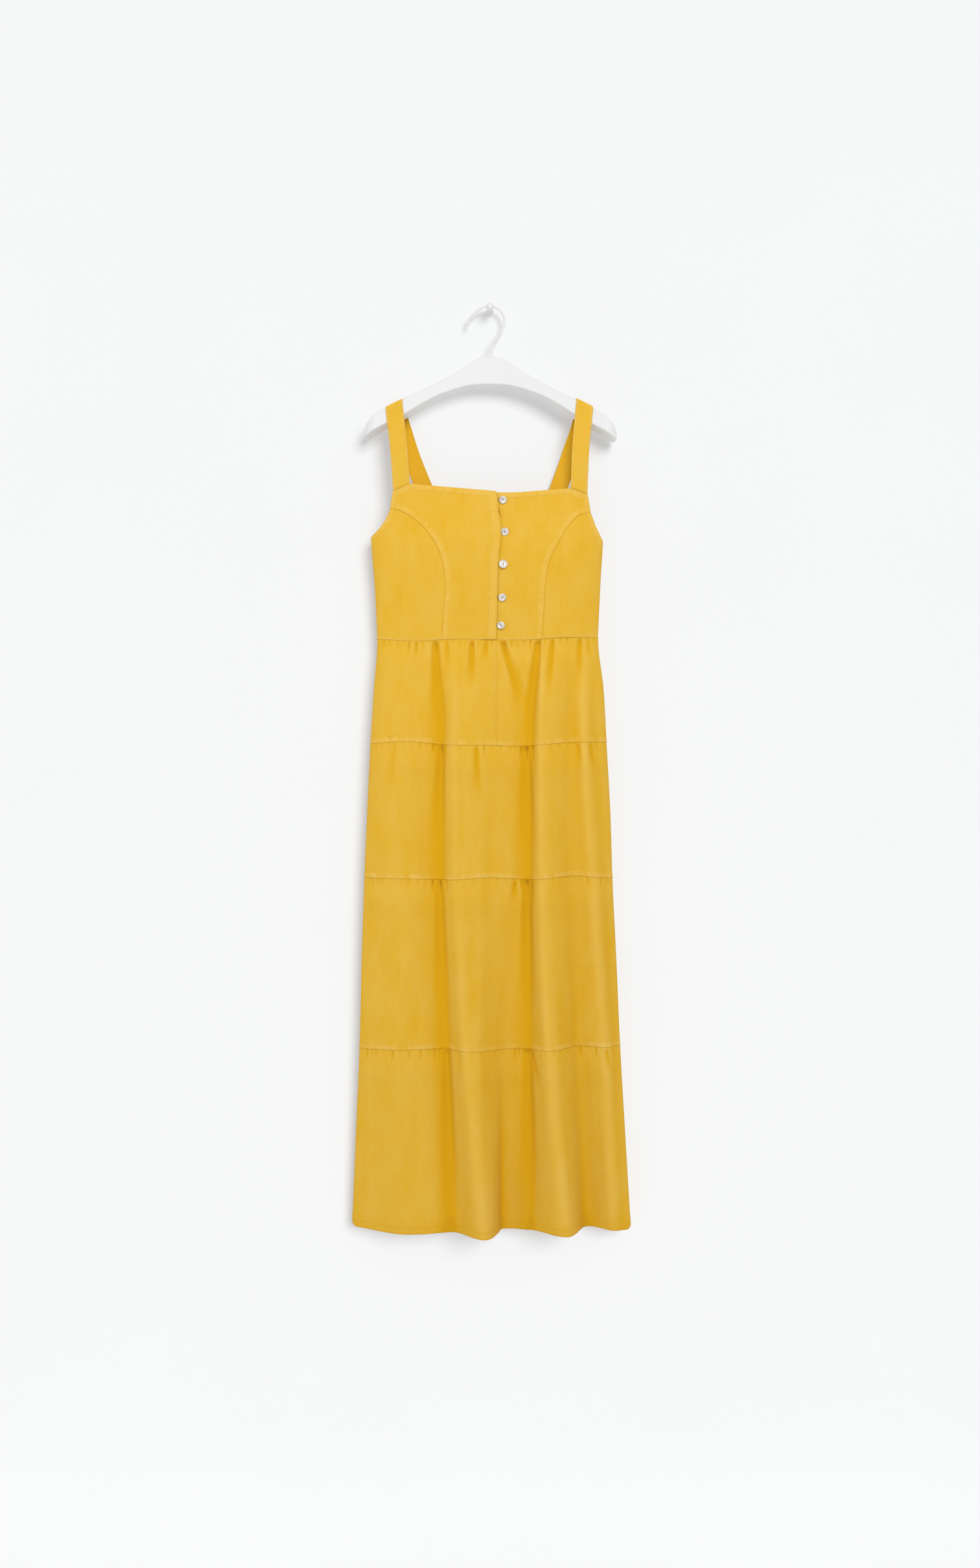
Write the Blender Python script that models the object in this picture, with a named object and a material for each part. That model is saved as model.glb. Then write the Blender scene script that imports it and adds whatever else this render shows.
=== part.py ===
"""A tiered linen dress with wide straps, on a wide-shouldered hanger that hangs from a wall knob.

The origin is the middle of the knob's back face, on the wall, which is the plane y = 0. The front of
the dress faces -Y and +Z is up. The tables are in millimetres, with heights given as the drop below
the origin, and left and right as seen by someone who looks at the front.
"""

import math

import bmesh
import bpy
import numpy as np
from mathutils import Matrix

# Driving dimensions, in millimetres
MM = 0.001
CLOTH_WALL = 1.5
STRAP_WALL = 1.8
SEAM_GAP = 0.3
SECTION_POWER = 3.2
LAP_WIDTH = 14.0
LAP_SLOPE = 14.0
PUFF_RISE = 1.8
PUFF_REACH = 70.0
WAIST_DROP = 547.0

# The section of the dress at each drop: its sides, where the side seams lie in depth, and how far
# the front and the back swell from there. Columns: drop, left, right, left depth, right depth, front, back
SECTIONS = (
    (260, -193, 183, -26, -26, 20, 17),
    (340, -195, 184, -26, -26, 23, 17),
    (383, -194.5, 184.5, -26, -26, 27, 17),
    (453, -188.7, 181.2, -26, -26, 25, 17),
    (517, -185.5, 178, -26, -26, 21, 17),
    (547, -184.4, 177, -26, -26, 20, 17),
    (623, -189.7, 185.5, -26, -26, 24, 17),
    (716, -195.6, 190.8, -26, -26, 26, 17),
    (835, -201.4, 197.2, -26, -26, 27, 17),
    (935, -205.6, 200.3, -26, -26, 26, 17),
    (1068, -209.9, 206.7, -26, -26, 25, 17),
    (1213, -213.6, 213, -25, -27, 24, 17),
    (1344, -219.4, 220.5, -23, -28, 23, 17),
    (1512, -226.2, 230.3, -22, -30, 22, 18),
)

# The drop of each seam at even steps from the left side seam to the right one, on the front
SEAMS = {
    "waist": (545.5, 550.5, 548.0, 549.0, 549.0, 544.5, 542.5),
    "first": (716.3, 713.5, 719.3, 719.8, 720.6, 715.1, 713.6),
    "second": (934.6, 935.2, 936.8, 933.2, 936.4, 931.1, 935.7),
    "third": (1213.4, 1211.1, 1210.0, 1211.8, 1210.5, 1207.5, 1209.2),
    "hem": (1504.5, 1508.0, 1506.0, 1507.0, 1504.0, 1503.5, 1508.0),
}

# The long folds of the skirt: a ridge, or a valley where its rise is below zero, at five drops.
# Columns: middle, rise, reach to the left, reach to the right
RIDGE_DROPS = (547, 640, 935, 1213, 1510)
FRONT_RIDGES = {
    "left": ((-160, -155, -150, -142, -128), (0, 4, 8, 12, 14), (40, 45, 55, 70, 85),
             (50, 60, 62, 80, 120)),
    "centre": ((-50, -52, -52, -36, -8), (0, 8, 13, 24, 37), (28, 30, 34, 45, 70),
               (60, 90, 95, 60, 27)),
    "centre valley": ((40, 45, 45, 36, 25), (0, -1, -2, -6, -14), (30, 30, 30, 30, 24),
                      (24, 24, 24, 30, 54)),
    "right": ((86, 84, 84, 94, 124), (0, 9, 15, 24, 33), (20, 22, 26, 44, 88), (40, 50, 56, 48, 30)),
    "right valley": ((132, 132, 136, 148, 162), (0, -1, -2, -8, -17), (20, 20, 22, 24, 26),
                     (16, 16, 18, 24, 40)),
    "side": ((152, 152, 166, 186, 204), (0, 5, 7, 8, 3), (16, 18, 20, 22, 20), (20, 22, 24, 20, 18)),
}
BACK_RIDGES = {
    "left": ((-140, -138, -134, -128, -120), (0, 1, 2, 3, 4), (36, 40, 44, 50, 50),
             (40, 46, 50, 50, 50)),
    "left valley": ((-80, -80, -78, -72, -66), (0, -2, -4, -7, -10), (30, 32, 34, 36, 40),
                    (30, 32, 34, 36, 40)),
    "centre": ((-10, -12, -16, -12, -8), (0, 1, 2, 3, 4), (36, 40, 40, 40, 40), (34, 40, 40, 40, 40)),
    "right valley": ((56, 56, 56, 60, 64), (0, -2, -4, -7, -10), (30, 32, 34, 36, 40),
                     (30, 32, 34, 36, 40)),
    "right": ((118, 120, 124, 126, 130), (0, 1, 2, 3, 4), (34, 40, 46, 50, 50), (34, 38, 42, 46, 48)),
}

# The gathers below each seam: a groove starts at the seam, leans to one side and runs out.
# Columns: start, lean, half width, depth, length
FRONT_GATHERS = {
    "waist": (
        (-172, -3, 7, 2.0, 22), (-150, -1, 6, 1.4, 18), (-131, -1, 6, 2.0, 26), (-118, -1, 6, 1.8, 30),
        (-104, 0, 5, 1.4, 18), (-88, 5, 8, 4.0, 120), (-69, 0, 6, 1.6, 54), (-48, 0, 6, 1.4, 22),
        (-28, -1, 8, 4.5, 92), (-5, -2, 6, 3.0, 40), (19, 24, 9, 5.0, 104), (38, 1, 6, 1.6, 20),
        (60, 2, 6, 1.6, 20), (80, -14, 9, 6.0, 160), (103, -8, 7, 3.0, 112), (124, 0, 6, 1.4, 20),
        (146, -1, 7, 3.0, 92), (161, 4, 6, 1.6, 46),
    ),
    "first": (
        (-176, 0, 6, 1.2, 18), (-153, -8, 8, 1.6, 92), (-112, 0, 6, 1.2, 16), (-92, 3, 6, 2.0, 20),
        (-76, -4, 8, 5.0, 150), (-48, 0, 6, 1.2, 16), (-21, 5, 6, 2.5, 86), (-4, 0, 6, 1.4, 18),
        (24, 0, 6, 1.2, 16), (46, 2, 6, 1.6, 20), (62, 5, 9, 6.0, 190), (98, 0, 6, 1.2, 16),
        (140, 8, 6, 2.6, 58), (162, 6, 6, 2.6, 62),
    ),
    "second": (
        (-190, 0, 6, 1.2, 16), (-172, 0, 6, 1.4, 18), (-130, 0, 6, 1.0, 16), (-96, 3, 6, 2.0, 24),
        (-80, 8, 8, 4.0, 210), (-66, 0, 6, 1.6, 26), (-24, 0, 6, 1.2, 18), (12, 0, 6, 1.2, 18),
        (42, -1, 6, 2.6, 44), (62, 5, 9, 6.0, 230), (84, 2, 6, 1.6, 28), (122, 0, 6, 1.2, 18),
        (158, 2, 6, 1.8, 26), (180, 0, 6, 1.2, 18),
    ),
    "third": (
        (-200, 0, 6, 1.2, 24), (-182, 0, 6, 1.2, 16), (-157, -1, 6, 1.6, 26), (-130, 0, 6, 1.2, 18),
        (-111, 0, 6, 1.6, 18), (-88, 4, 6, 1.6, 20), (-68, 14, 8, 4.0, 270), (-46, 0, 6, 1.4, 64),
        (-10, 0, 6, 1.2, 16), (18, 0, 6, 1.2, 16), (42, 0, 6, 2.0, 22), (62, 14, 9, 6.0, 285),
        (80, 14, 6, 2.0, 54), (116, 0, 6, 1.2, 16), (147, 0, 6, 1.6, 20), (170, 1, 6, 1.6, 22),
        (189, 8, 6, 2.0, 44),
    ),
}
BACK_GATHER_STEP = 40.0
BACK_GATHER_SIDE_MARGIN = 24.0
BACK_GATHER_HALF_WIDTH = 10.0
BACK_GATHER_DEPTHS = (1.6, 2.6, 1.4, 3.2, 1.8)
BACK_GATHER_LENGTHS = (24, 70, 20, 110, 34, 26, 88)
BACK_GATHER_LEANS = (0, 4, -2, -6, 3)

# Bodice lines on the front, as points of x and drop
STRAP_JOINTS = {"left": ((-157.5, 306), (-130, 295)), "right": ((158.5, 311), (131, 302))}
NECKLINE = ((-130, 295), (-92, 298.8), (-17, 305.6), (15, 308.8), (40, 308.8), (90, 305.3), (131, 302))
ARMHOLES = {
    "left": ((-157.5, 306), (-160.5, 322), (-162, 335), (-165, 343), (-175.6, 361.4), (-184.7, 371.2),
             (-194.4, 379)),
    "right": ((158.5, 311), (161, 324), (163.5, 340.4), (167.2, 351), (171, 362), (176, 373), (183, 386)),
}
ARMHOLE_NOTCH = 2
PRINCESS_SEAMS = {
    "left": ((-162, 335), (-148, 337.5), (-127, 349.3), (-106, 368), (-79, 413), (-72, 461), (-75, 500),
             (-77.5, 548)),
    "right": ((163.5, 340.4), (145, 345), (130, 359.7), (113, 387), (98, 415), (89, 461), (86.4, 506),
              (84, 547)),
}
OPENING_EDGE = ((10, 308.2), (14.5, 328), (16.8, 356), (17.4, 384), (14.5, 411), (12.6, 450), (11.5, 489),
                (10, 548))
BACK_NECK_HALF = 121.0
BACK_NECK_DROP = 316.0
BACK_ARMHOLE_STEPS = ((0.36, 0.18), (0.74, 0.55))
CENTRE_SEAM_X = 10.0

# Steps of the bodice's pieces, as shares of their width and height. The lines of both fronts run on
# across the curved seam, which leaves the armhole at the row of its share
ARMHOLE_SHARE = 0.12
FRONT_ROWS = (0, 0.06, ARMHOLE_SHARE, 0.16, 0.21, 0.27, 0.34, 0.42, 0.51, 0.61, 0.74, 0.87, 1)
FRONT_STEPS = (0, 0.08, 0.16, 0.24, 0.34, 0.45, 0.57, 0.7, 0.82, 0.92, 1)
FRONT_JOINT_SHARE = 0.16
FRONT_SIZE = (150, 240)
SIDE_FRONT_STEPS = 9
SIDE_FRONT_CROWDING = 1.7
SIDE_FRONT_SIZE = (100, 200)
BACK_ARMHOLE_SHARE = 0.34
BACK_ROWS = (0, 0.11, 0.22, BACK_ARMHOLE_SHARE, 0.48, 0.64, 0.82, 1)
BACK_STEPS = 20
BACK_HEIGHT = 230
BACK_NECK_SAG = 3.0

# Steps of the skirt's pieces: rows at these drops below a gathered seam, then even ones to the next
# seam, and columns at the gathers and at these turns towards each side
GATHER_ROWS = (0, 7, 20, 46)
SIDE_TURNS = (90, 84, 76, 66)
MOST_STEP = 0.09
LEAST_STEP = 0.026
NEAR_SIDE = 0.97
HEM_RETURN_RIDGES = ("centre", "right")
HEM_RETURN_STEPS = (0.1, 0.4, 0.7, 1.0)

# The straps, in mirror image: their edges where they bend over the hanger, half way down the front
# and at the back neckline, with the depth there
STRAP_OVER = (169.5, 142.5)
STRAP_MIDDLE = (162.5, 235, 134.5, 232, -43.0)
STRAP_BACK_MIDDLE = (146.5, 236, 116.5, 236, -4.2)
STRAP_BACK_END = (120.6, 90.4)
STRAP_SHIFT = {"left": 0.0, "right": -2.0}
STRAP_BACK_SHIFT = {"left": 0.0, "right": 2.0}
STRAP_FALL = 14.0
STRAP_FRONT_LEAN = {"left": 1.1, "right": 1.1}
STRAP_BACK_LEAN = {"left": 4.5, "right": 1.5}
STRAP_CLEARANCE = 0.4
STRAP_BEND = 2.0
STRAP_CROWN = 0.2
STRAP_END_GAP = 0.45
STRAP_COLUMNS = 4
STRAP_ROWS = 23
STRAP_EVENNESS = 1.1

# Buttons: x and drop of each, from the neckline down
BUTTONS = ((20.8, 322.4), (24.2, 374.5), (21.2, 427.1), (19.8, 480.3), (17.6, 525.2))
BUTTON_DIAMETER = 12.7
BUTTON_THICKNESS = 2.4
BUTTON_SEAT = 0.5
BUTTON_HOLE_DIAMETER = 1.7
BUTTON_HOLE_SPACING = 3.4

# The hanger: its edges at each distance from the stem, and half of its thickness there.
# Columns: distance, drop of the top, drop of the bottom, half thickness
HANGER_X = 3.0
HANGER_DEPTH = -22.0
HANGER_TILT = math.radians(0.6)
HANGER_PLACES = (
    (0, 84.0, 129.6, 9.0),
    (16, 84.6, 130.0, 9.0),
    (22, 88.0, 130.4, 9.2),
    (39, 99.1, 133.0, 9.8),
    (64, 114.7, 140.6, 10.8),
    (90, 129.2, 151.2, 12.2),
    (115, 142.3, 165.4, 13.6),
    (134, 151.4, 177.4, 14.8),
    (156, 162.4, 190.4, 16.0),
    (178, 174.6, 201.6, 17.6),
    (194, 186.4, 211.0, 18.0),
    (203, 198.4, 216.6, 14.0),
    (207, 206.4, 216.0, 6.0),
)

# The hook, a bent wire that leans back to the wall, and the turned knob
WIRE_DIAMETER = 4.0
CROOK_DEPTH = -14.0
CROOK_X = -1.0
CROOK_RADIUS = 25.0
CROOK_FLARE = 11.0
CROOK_FLARE_ANGLES = (110.0, 200.0)
CROOK_ANGLES = (-32.0, 198.0)
STEM_HEIGHT = 17.0
KNOB_NECK_RADIUS = 2.6
KNOB_PROFILE = (
    (6.4, 0.0), (6.4, -2.4), (5.6, -3.6), (KNOB_NECK_RADIUS, -4.6), (KNOB_NECK_RADIUS, -18.6),
    (4.6, -19.6), (6.3, -22.0), (6.5, -24.4), (5.4, -27.0), (2.8, -28.4),
)

# Colours, roughness and metallic value of each material
FINISHES = {
    "linen": ((0.80, 0.47, 0.045), 0.85, 0.0),
    "pearl": ((0.86, 0.84, 0.79), 0.25, 0.0),
    "hanger_white": ((0.85, 0.85, 0.85), 0.4, 0.0),
    "hook_white": ((0.82, 0.82, 0.82), 0.3, 0.0),
    "knob_white": ((0.80, 0.80, 0.79), 0.35, 0.0),
}


def clear_scene():
    for thing in list(bpy.data.objects):
        bpy.data.objects.remove(thing, do_unlink=True)


def finish(name, finish_name):
    """The material of one sub-part."""
    colour, roughness, metallic = FINISHES[finish_name]
    made = bpy.data.materials.new(name + "_" + finish_name)
    made.use_nodes = True
    shader = made.node_tree.nodes["Principled BSDF"]
    shader.inputs["Base Color"].default_value = (*colour, 1.0)
    shader.inputs["Roughness"].default_value = roughness
    shader.inputs["Metallic"].default_value = metallic
    made.diffuse_color = (*colour, 1.0)
    return made


def new_object(name, bm, finish_name, sharp=40):
    """Closes a bmesh into a named object, in metres, shaded smooth up to the sharp angle."""
    bmesh.ops.recalc_face_normals(bm, faces=bm.faces)
    bmesh.ops.scale(bm, vec=(MM, MM, MM), verts=bm.verts)
    mesh = bpy.data.meshes.new(name)
    bm.to_mesh(mesh)
    bm.free()
    mesh.shade_smooth()
    mesh.set_sharp_from_angle(angle=math.radians(sharp))
    made = bpy.data.objects.new(name, mesh)
    made.data.materials.append(finish(name, finish_name))
    bpy.context.scene.collection.objects.link(made)
    return made


# Curves


def smooth(keys, values):
    """A function that runs smoothly through the values, each at its key."""
    keys = np.asarray(keys, float)
    values = np.asarray(values, float)
    slopes = np.gradient(values, keys, axis=0)

    def at(key):
        key = min(max(key, keys[0]), keys[-1])
        i = min(int(np.searchsorted(keys, key, side="right")) - 1, len(keys) - 2)
        span = keys[i + 1] - keys[i]
        t = (key - keys[i]) / span
        start = (1 + 2 * t) * (1 - t) ** 2 * values[i] + t * (1 - t) ** 2 * span * slopes[i]
        end = t * t * (3 - 2 * t) * values[i + 1] + t * t * (t - 1) * span * slopes[i + 1]
        return start + end

    return at


def path(points):
    """A smooth path through points, as a function of the share of its length from 0 to 1."""
    points = np.asarray(points, float)
    steps = np.linalg.norm(np.diff(points, axis=0), axis=1)
    lengths = np.concatenate([[0.0], np.cumsum(steps)])
    return smooth(lengths / lengths[-1], points)


def joined(first, second, share):
    """Two paths end to end, the first taking the given share."""
    return lambda t: first(t / share) if t < share else second((t - share) / (1 - share))


def ease(t):
    """0 below 0, 1 above 1 and level at both ends."""
    t = min(max(t, 0.0), 1.0)
    return t * t * (3 - 2 * t)


def hump(t):
    """1 at 0 and 0 from 1 outwards, level at both."""
    return math.cos(math.pi * t / 2) ** 2 if abs(t) < 1 else 0.0


# The form of the dress

section_at = smooth([row[0] for row in SECTIONS], [row[1:] for row in SECTIONS])


def sides(drop):
    """Middle and half width of the dress at a drop."""
    left, right = section_at(drop)[:2]
    return (left + right) / 2, (right - left) / 2


def seam_curves():
    """Each seam's drop across the front, and straight from side to side across the back."""
    curves = {}
    for name, drops in SEAMS.items():
        steps = np.linspace(-1, 1, len(drops))
        curves[name, "front"] = smooth(steps, drops)
        curves[name, "back"] = smooth((-1, 0, 1), (drops[0], (drops[0] + drops[-1]) / 2 + 1.5, drops[-1]))
    return curves


seam_drop = seam_curves()


def ridge_curves(ridges):
    return [smooth(RIDGE_DROPS, np.transpose(columns)) for columns in ridges.values()]


ridges_of = {"front": ridge_curves(FRONT_RIDGES), "back": ridge_curves(BACK_RIDGES)}


def back_gathers():
    """Gathers at near even steps across the back, whose depth, length and lean go round short cycles."""
    rows = {}
    for turn, name in enumerate(FRONT_GATHERS):
        left, right = section_at(seam_drop[name, "back"](0))[:2]
        left += BACK_GATHER_SIDE_MARGIN
        right -= BACK_GATHER_SIDE_MARGIN
        count = round((right - left) / BACK_GATHER_STEP)
        made = []
        for i in range(count + 1):
            cycle = i + 2 * turn
            made.append((
                left + (right - left) * i / count + 4 * math.sin(2.4 * cycle),
                BACK_GATHER_LEANS[cycle % len(BACK_GATHER_LEANS)],
                BACK_GATHER_HALF_WIDTH,
                BACK_GATHER_DEPTHS[cycle % len(BACK_GATHER_DEPTHS)],
                BACK_GATHER_LENGTHS[cycle % len(BACK_GATHER_LENGTHS)],
            ))
        rows[name] = tuple(made)
    return rows


gathers_of = {"front": FRONT_GATHERS, "back": back_gathers()}


def relief(face, x, drop):
    """How far the cloth stands out from the plain section: long ridges, less the gathers' grooves."""
    out = 0.0
    if drop <= WAIST_DROP - 8:
        return out
    for ridge in ridges_of[face]:
        middle, rise, left_reach, right_reach = ridge(drop)
        reach = left_reach if x < middle else right_reach
        out += rise * hump((x - middle) / reach)
    middle, half = sides(drop)
    share = min(max((x - middle) / half, -1), 1)
    for name, rows in gathers_of[face].items():
        below = drop - seam_drop[name, face](share)
        if below <= 0:
            continue
        out += PUFF_RISE * hump((2 * below - PUFF_REACH) / PUFF_REACH)
        for start, lean, half_width, depth, length in rows:
            if below >= length:
                continue
            groove = hump((x - start - lean * below / length) / half_width)
            out -= depth * groove * ease(below / 8) * ease((length - below) / (0.7 * length))
    return out


def dress_point(angle, drop):
    """A point on the outside of the dress. The angle is 0 at the middle of the front, pi at the back."""
    left, right, left_depth, right_depth, front, back = section_at(drop)
    share = math.sin(angle)
    x = (left + right) / 2 + (right - left) / 2 * share
    seam_depth = left_depth + (right_depth - left_depth) * (share + 1) / 2
    swell = math.sqrt(max(1 - abs(share) ** SECTION_POWER, 0.0))
    near_side = ease(swell / 0.5)
    if math.cos(angle) >= 0:
        y = seam_depth - front * swell - near_side * relief("front", x, drop)
    else:
        y = seam_depth + back * swell + near_side * relief("back", x, drop)
    return np.array((x, y, -drop))


def dress_normal(angle, drop):
    """The outward direction there."""
    turn = 0.004
    fall = 1.0
    round_it = dress_point(angle + turn, drop) - dress_point(angle - turn, drop)
    down_it = dress_point(angle, drop + fall) - dress_point(angle, drop - fall)
    normal = np.cross(down_it, round_it)
    return normal / np.linalg.norm(normal)


def seam_turn(drop, face):
    """The angle by which a panel stops short of the side seam, half a gap from it."""
    swell = section_at(drop)[4 if face == "front" else 5]
    return SEAM_GAP / 2 / (swell * math.sqrt(SECTION_POWER / 2))


def angle_at(x, drop, face):
    """The angle of a point at x, kept short of the side seams."""
    middle, half = sides(drop)
    most = math.pi / 2 - seam_turn(drop, face)
    angle = min(max(math.asin(min(max((x - middle) / half, -1), 1)), -most), most)
    return angle if face == "front" else math.pi - angle


# Cloth pieces


def walled_grid(name, across, down, corner, finish_name):
    """A cloth piece: a flat grid is given a wall by an extrusion, then bent. corner(u, v) gives the
    outer point and the inner one."""
    bm = bmesh.new()
    bmesh.ops.create_grid(bm, x_segments=len(across) - 1, y_segments=len(down) - 1, size=0.5)
    outer = list(bm.verts)
    made = bmesh.ops.extrude_face_region(bm, geom=list(bm.faces), use_keep_orig=True)
    inner = [item for item in made["geom"] if isinstance(item, bmesh.types.BMVert)]
    for verts, layer in ((outer, 0), (inner, 1)):
        for vert in verts:
            i = round((vert.co.x + 0.5) * (len(across) - 1))
            j = round((0.5 - vert.co.y) * (len(down) - 1))
            vert.co = corner(across[i], down[j])[layer]
    return new_object(name, bm, finish_name)


def dress_panel(name, across, down, spot, finish_name="linen"):
    """A panel that lies on the dress. spot(u, v) gives its angle, drop and lift there."""

    def corner(u, v):
        angle, drop, lift = spot(u, v)
        point = dress_point(angle, drop)
        normal = dress_normal(angle, drop)
        return point + normal * lift, point + normal * (lift - CLOTH_WALL)

    return walled_grid(name, across, down, corner, finish_name)


def patch(top, bottom, left, right):
    """A surface between four paths that meet at their ends."""

    def at(u, v):
        across = (1 - v) * top(u) + v * bottom(u)
        along = (1 - u) * left(v) + u * right(v)
        corners = (1 - v) * ((1 - u) * top(0) + u * top(1)) + v * ((1 - u) * bottom(0) + u * bottom(1))
        return across + along - corners

    return at


def side_path(side, face, top_drop, bottom_drop):
    """The side seam as a path of x and drop."""
    sign = {"left": -1, "right": 1}[side]

    def at(t):
        drop = top_drop + (bottom_drop - top_drop) * t
        middle, half = sides(drop)
        return np.array((middle + sign * half * math.cos(seam_turn(drop, face)), drop))

    return at


def waist_path(x_start, x_end, face):
    """The bodice's lower edge between two places."""

    def at(u):
        x = x_start + (x_end - x_start) * u
        middle, half = sides(WAIST_DROP)
        share = min(max((x - middle) / half, -1), 1)
        return np.array((x, seam_drop["waist", face](share)))

    return at


def inset(steps, length, ends=(True, True)):
    """Steps from 0 to 1 with half a seam gap taken off the ends that meet a seam."""
    gap = SEAM_GAP / 2 / length
    low = gap if ends[0] else 0.0
    high = 1 - gap if ends[1] else 1.0
    return [low + (high - low) * step for step in steps]


def no_lift(x, drop):
    return 0.0


def bodice_spot(surface, face, lift=no_lift):
    """Where each place of a flat bodice pattern lies on the dress."""

    def spot(u, v):
        x, drop = surface(u, v)
        return angle_at(x, drop, face), drop, lift(x, drop)

    return spot


opening_x = smooth([drop for x, drop in OPENING_EDGE], [x for x, drop in OPENING_EDGE])


def lap_lift(x, drop):
    """The left front lifts over the right one where it laps."""
    return (CLOTH_WALL + SEAM_GAP) * ease((x - opening_x(drop) + LAP_WIDTH + LAP_SLOPE + 2) / LAP_SLOPE)


def part_of(route, start, end):
    """A stretch of a path."""
    return lambda t: route(start + (end - start) * t)


def share_at(route, x):
    """The share of a path at which it is at x."""
    shares = np.linspace(0, 1, 801)
    return float(shares[int(np.argmin([abs(route(share)[0] - x) for share in shares]))])


def build_centre_fronts():
    """The two centre fronts. The left one laps over the right one at the opening."""
    width, height = FRONT_SIZE
    across = inset(FRONT_STEPS, width, (True, False))
    down = inset(FRONT_ROWS, height)
    neck = path(NECKLINE)
    opening = path(OPENING_EDGE)
    for side in ("left", "right"):
        upper = path(ARMHOLES[side][: ARMHOLE_NOTCH + 1])
        outer_edge = joined(upper, path(PRINCESS_SEAMS[side]), ARMHOLE_SHARE)
        outer_end = PRINCESS_SEAMS[side][-1][0]
        lap = 0.0 if side == "left" else LAP_WIDTH
        inner_edge = shifted(opening, -lap)
        inner_end = inner_edge(1)[0]
        neck_end = share_at(neck, inner_edge(0)[0])
        from_strap = part_of(neck, 0 if side == "left" else 1, neck_end)
        top = joined(path(STRAP_JOINTS[side]), from_strap, FRONT_JOINT_SHARE)
        bottom = waist_path(outer_end, inner_end, "front")
        surface = patch(top, bottom, outer_edge, inner_edge)
        lift = lap_lift if side == "left" else no_lift
        dress_panel("bodice_centre_front_" + side, across, down, bodice_spot(surface, "front", lift))


def shifted(route, x):
    return lambda t: route(t) + np.array((x, 0.0))


def build_side_fronts():
    """The two side fronts, each from the armhole and the curved seam to the side seam."""
    rows = [(row - ARMHOLE_SHARE) / (1 - ARMHOLE_SHARE) for row in FRONT_ROWS if row >= ARMHOLE_SHARE]
    steps = [(i / SIDE_FRONT_STEPS) ** SIDE_FRONT_CROWDING for i in range(SIDE_FRONT_STEPS + 1)]
    width, height = SIDE_FRONT_SIZE
    across = inset(steps, width, (False, True))
    down = inset(rows, height, (False, True))
    for side, sign in (("left", -1), ("right", 1)):
        armhole = path(ARMHOLES[side][ARMHOLE_NOTCH:])
        side_seam = side_path(side, "front", ARMHOLES[side][-1][1], seam_drop["waist", "front"](sign))
        bottom = waist_path(side_seam(1)[0], PRINCESS_SEAMS[side][-1][0], "front")
        surface = patch(part_of(armhole, 1, 0), bottom, side_seam, path(PRINCESS_SEAMS[side]))
        dress_panel("bodice_side_front_" + side, across, down, bodice_spot(surface, "front"))


def build_back():
    """The bodice's back, one panel from the back neckline to the waist."""
    edges = {}
    for side, sign in (("left", -1), ("right", 1)):
        underarm = ARMHOLES[side][-1]
        neck_x = sign * BACK_NECK_HALF
        points = [(neck_x, BACK_NECK_DROP)]
        for out, down_share in BACK_ARMHOLE_STEPS:
            points.append((neck_x + (underarm[0] - neck_x) * out,
                           BACK_NECK_DROP + (underarm[1] - BACK_NECK_DROP) * down_share))
        points.append(underarm)
        seam = side_path(side, "back", underarm[1], seam_drop["waist", "back"](sign))
        edges[side] = joined(path(points), seam, BACK_ARMHOLE_SHARE)

    def top(u):
        sag = BACK_NECK_SAG * math.sin(math.pi * u)
        return np.array((BACK_NECK_HALF * (2 * u - 1), BACK_NECK_DROP + sag))

    bottom = waist_path(edges["left"](1)[0], edges["right"](1)[0], "back")
    surface = patch(top, bottom, edges["left"], edges["right"])
    across = [(1 - math.cos(math.pi * i / BACK_STEPS)) / 2 for i in range(BACK_STEPS + 1)]
    down = inset(BACK_ROWS, BACK_HEIGHT)
    dress_panel("bodice_back", across, down, bodice_spot(surface, "back"))


# The skirt


def columns(seam, face, low=-1.0, high=1.0):
    """Shares of the half width at which a tier has its columns: three to a gather, closer at the sides."""
    middle, half = sides(seam_drop[seam, face](0))
    wanted = [math.sin(math.radians(turn)) * sign for turn in SIDE_TURNS for sign in (-1, 1)]
    for start, _, half_width, _, _ in gathers_of[face][seam]:
        wanted += [(start + half_width * part - middle) / half for part in (-1, 0, 1)]
    if seam == "third" and face == "front":
        wanted += hem_returns()
    shares = [low]
    for share in sorted(share for share in wanted if low < share < high) + [high]:
        crowded = share - shares[-1] < LEAST_STEP and abs(share) < NEAR_SIDE and share != high
        if not crowded:
            gap = share - shares[-1]
            fill = math.ceil(gap / MOST_STEP) if abs(share) < NEAR_SIDE else 1
            start = shares[-1]
            shares += [start + gap * (i + 1) / fill for i in range(fill)]
    if shares[-1] - shares[-2] < LEAST_STEP / 2 and abs(high) < NEAR_SIDE:
        del shares[-2]
    return shares


def hem_returns():
    """Shares of the half width where the two steepest folds turn back at the hem."""
    drop = RIDGE_DROPS[-1]
    middle, half = sides(drop)
    shares = []
    for name in HEM_RETURN_RIDGES:
        top, _, _, reach = (column[-1] for column in FRONT_RIDGES[name])
        shares += [(top + reach * part - middle) / half for part in HEM_RETURN_STEPS]
    return shares


def tier_rows(length, steps):
    """Shares down a tier: close together under the gathered seam, then wide apart."""
    near = GATHER_ROWS[-1]
    rest = [near + (length - near) * (i + 1) / steps for i in range(steps)]
    return [row / length for row in list(GATHER_ROWS) + rest]


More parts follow.
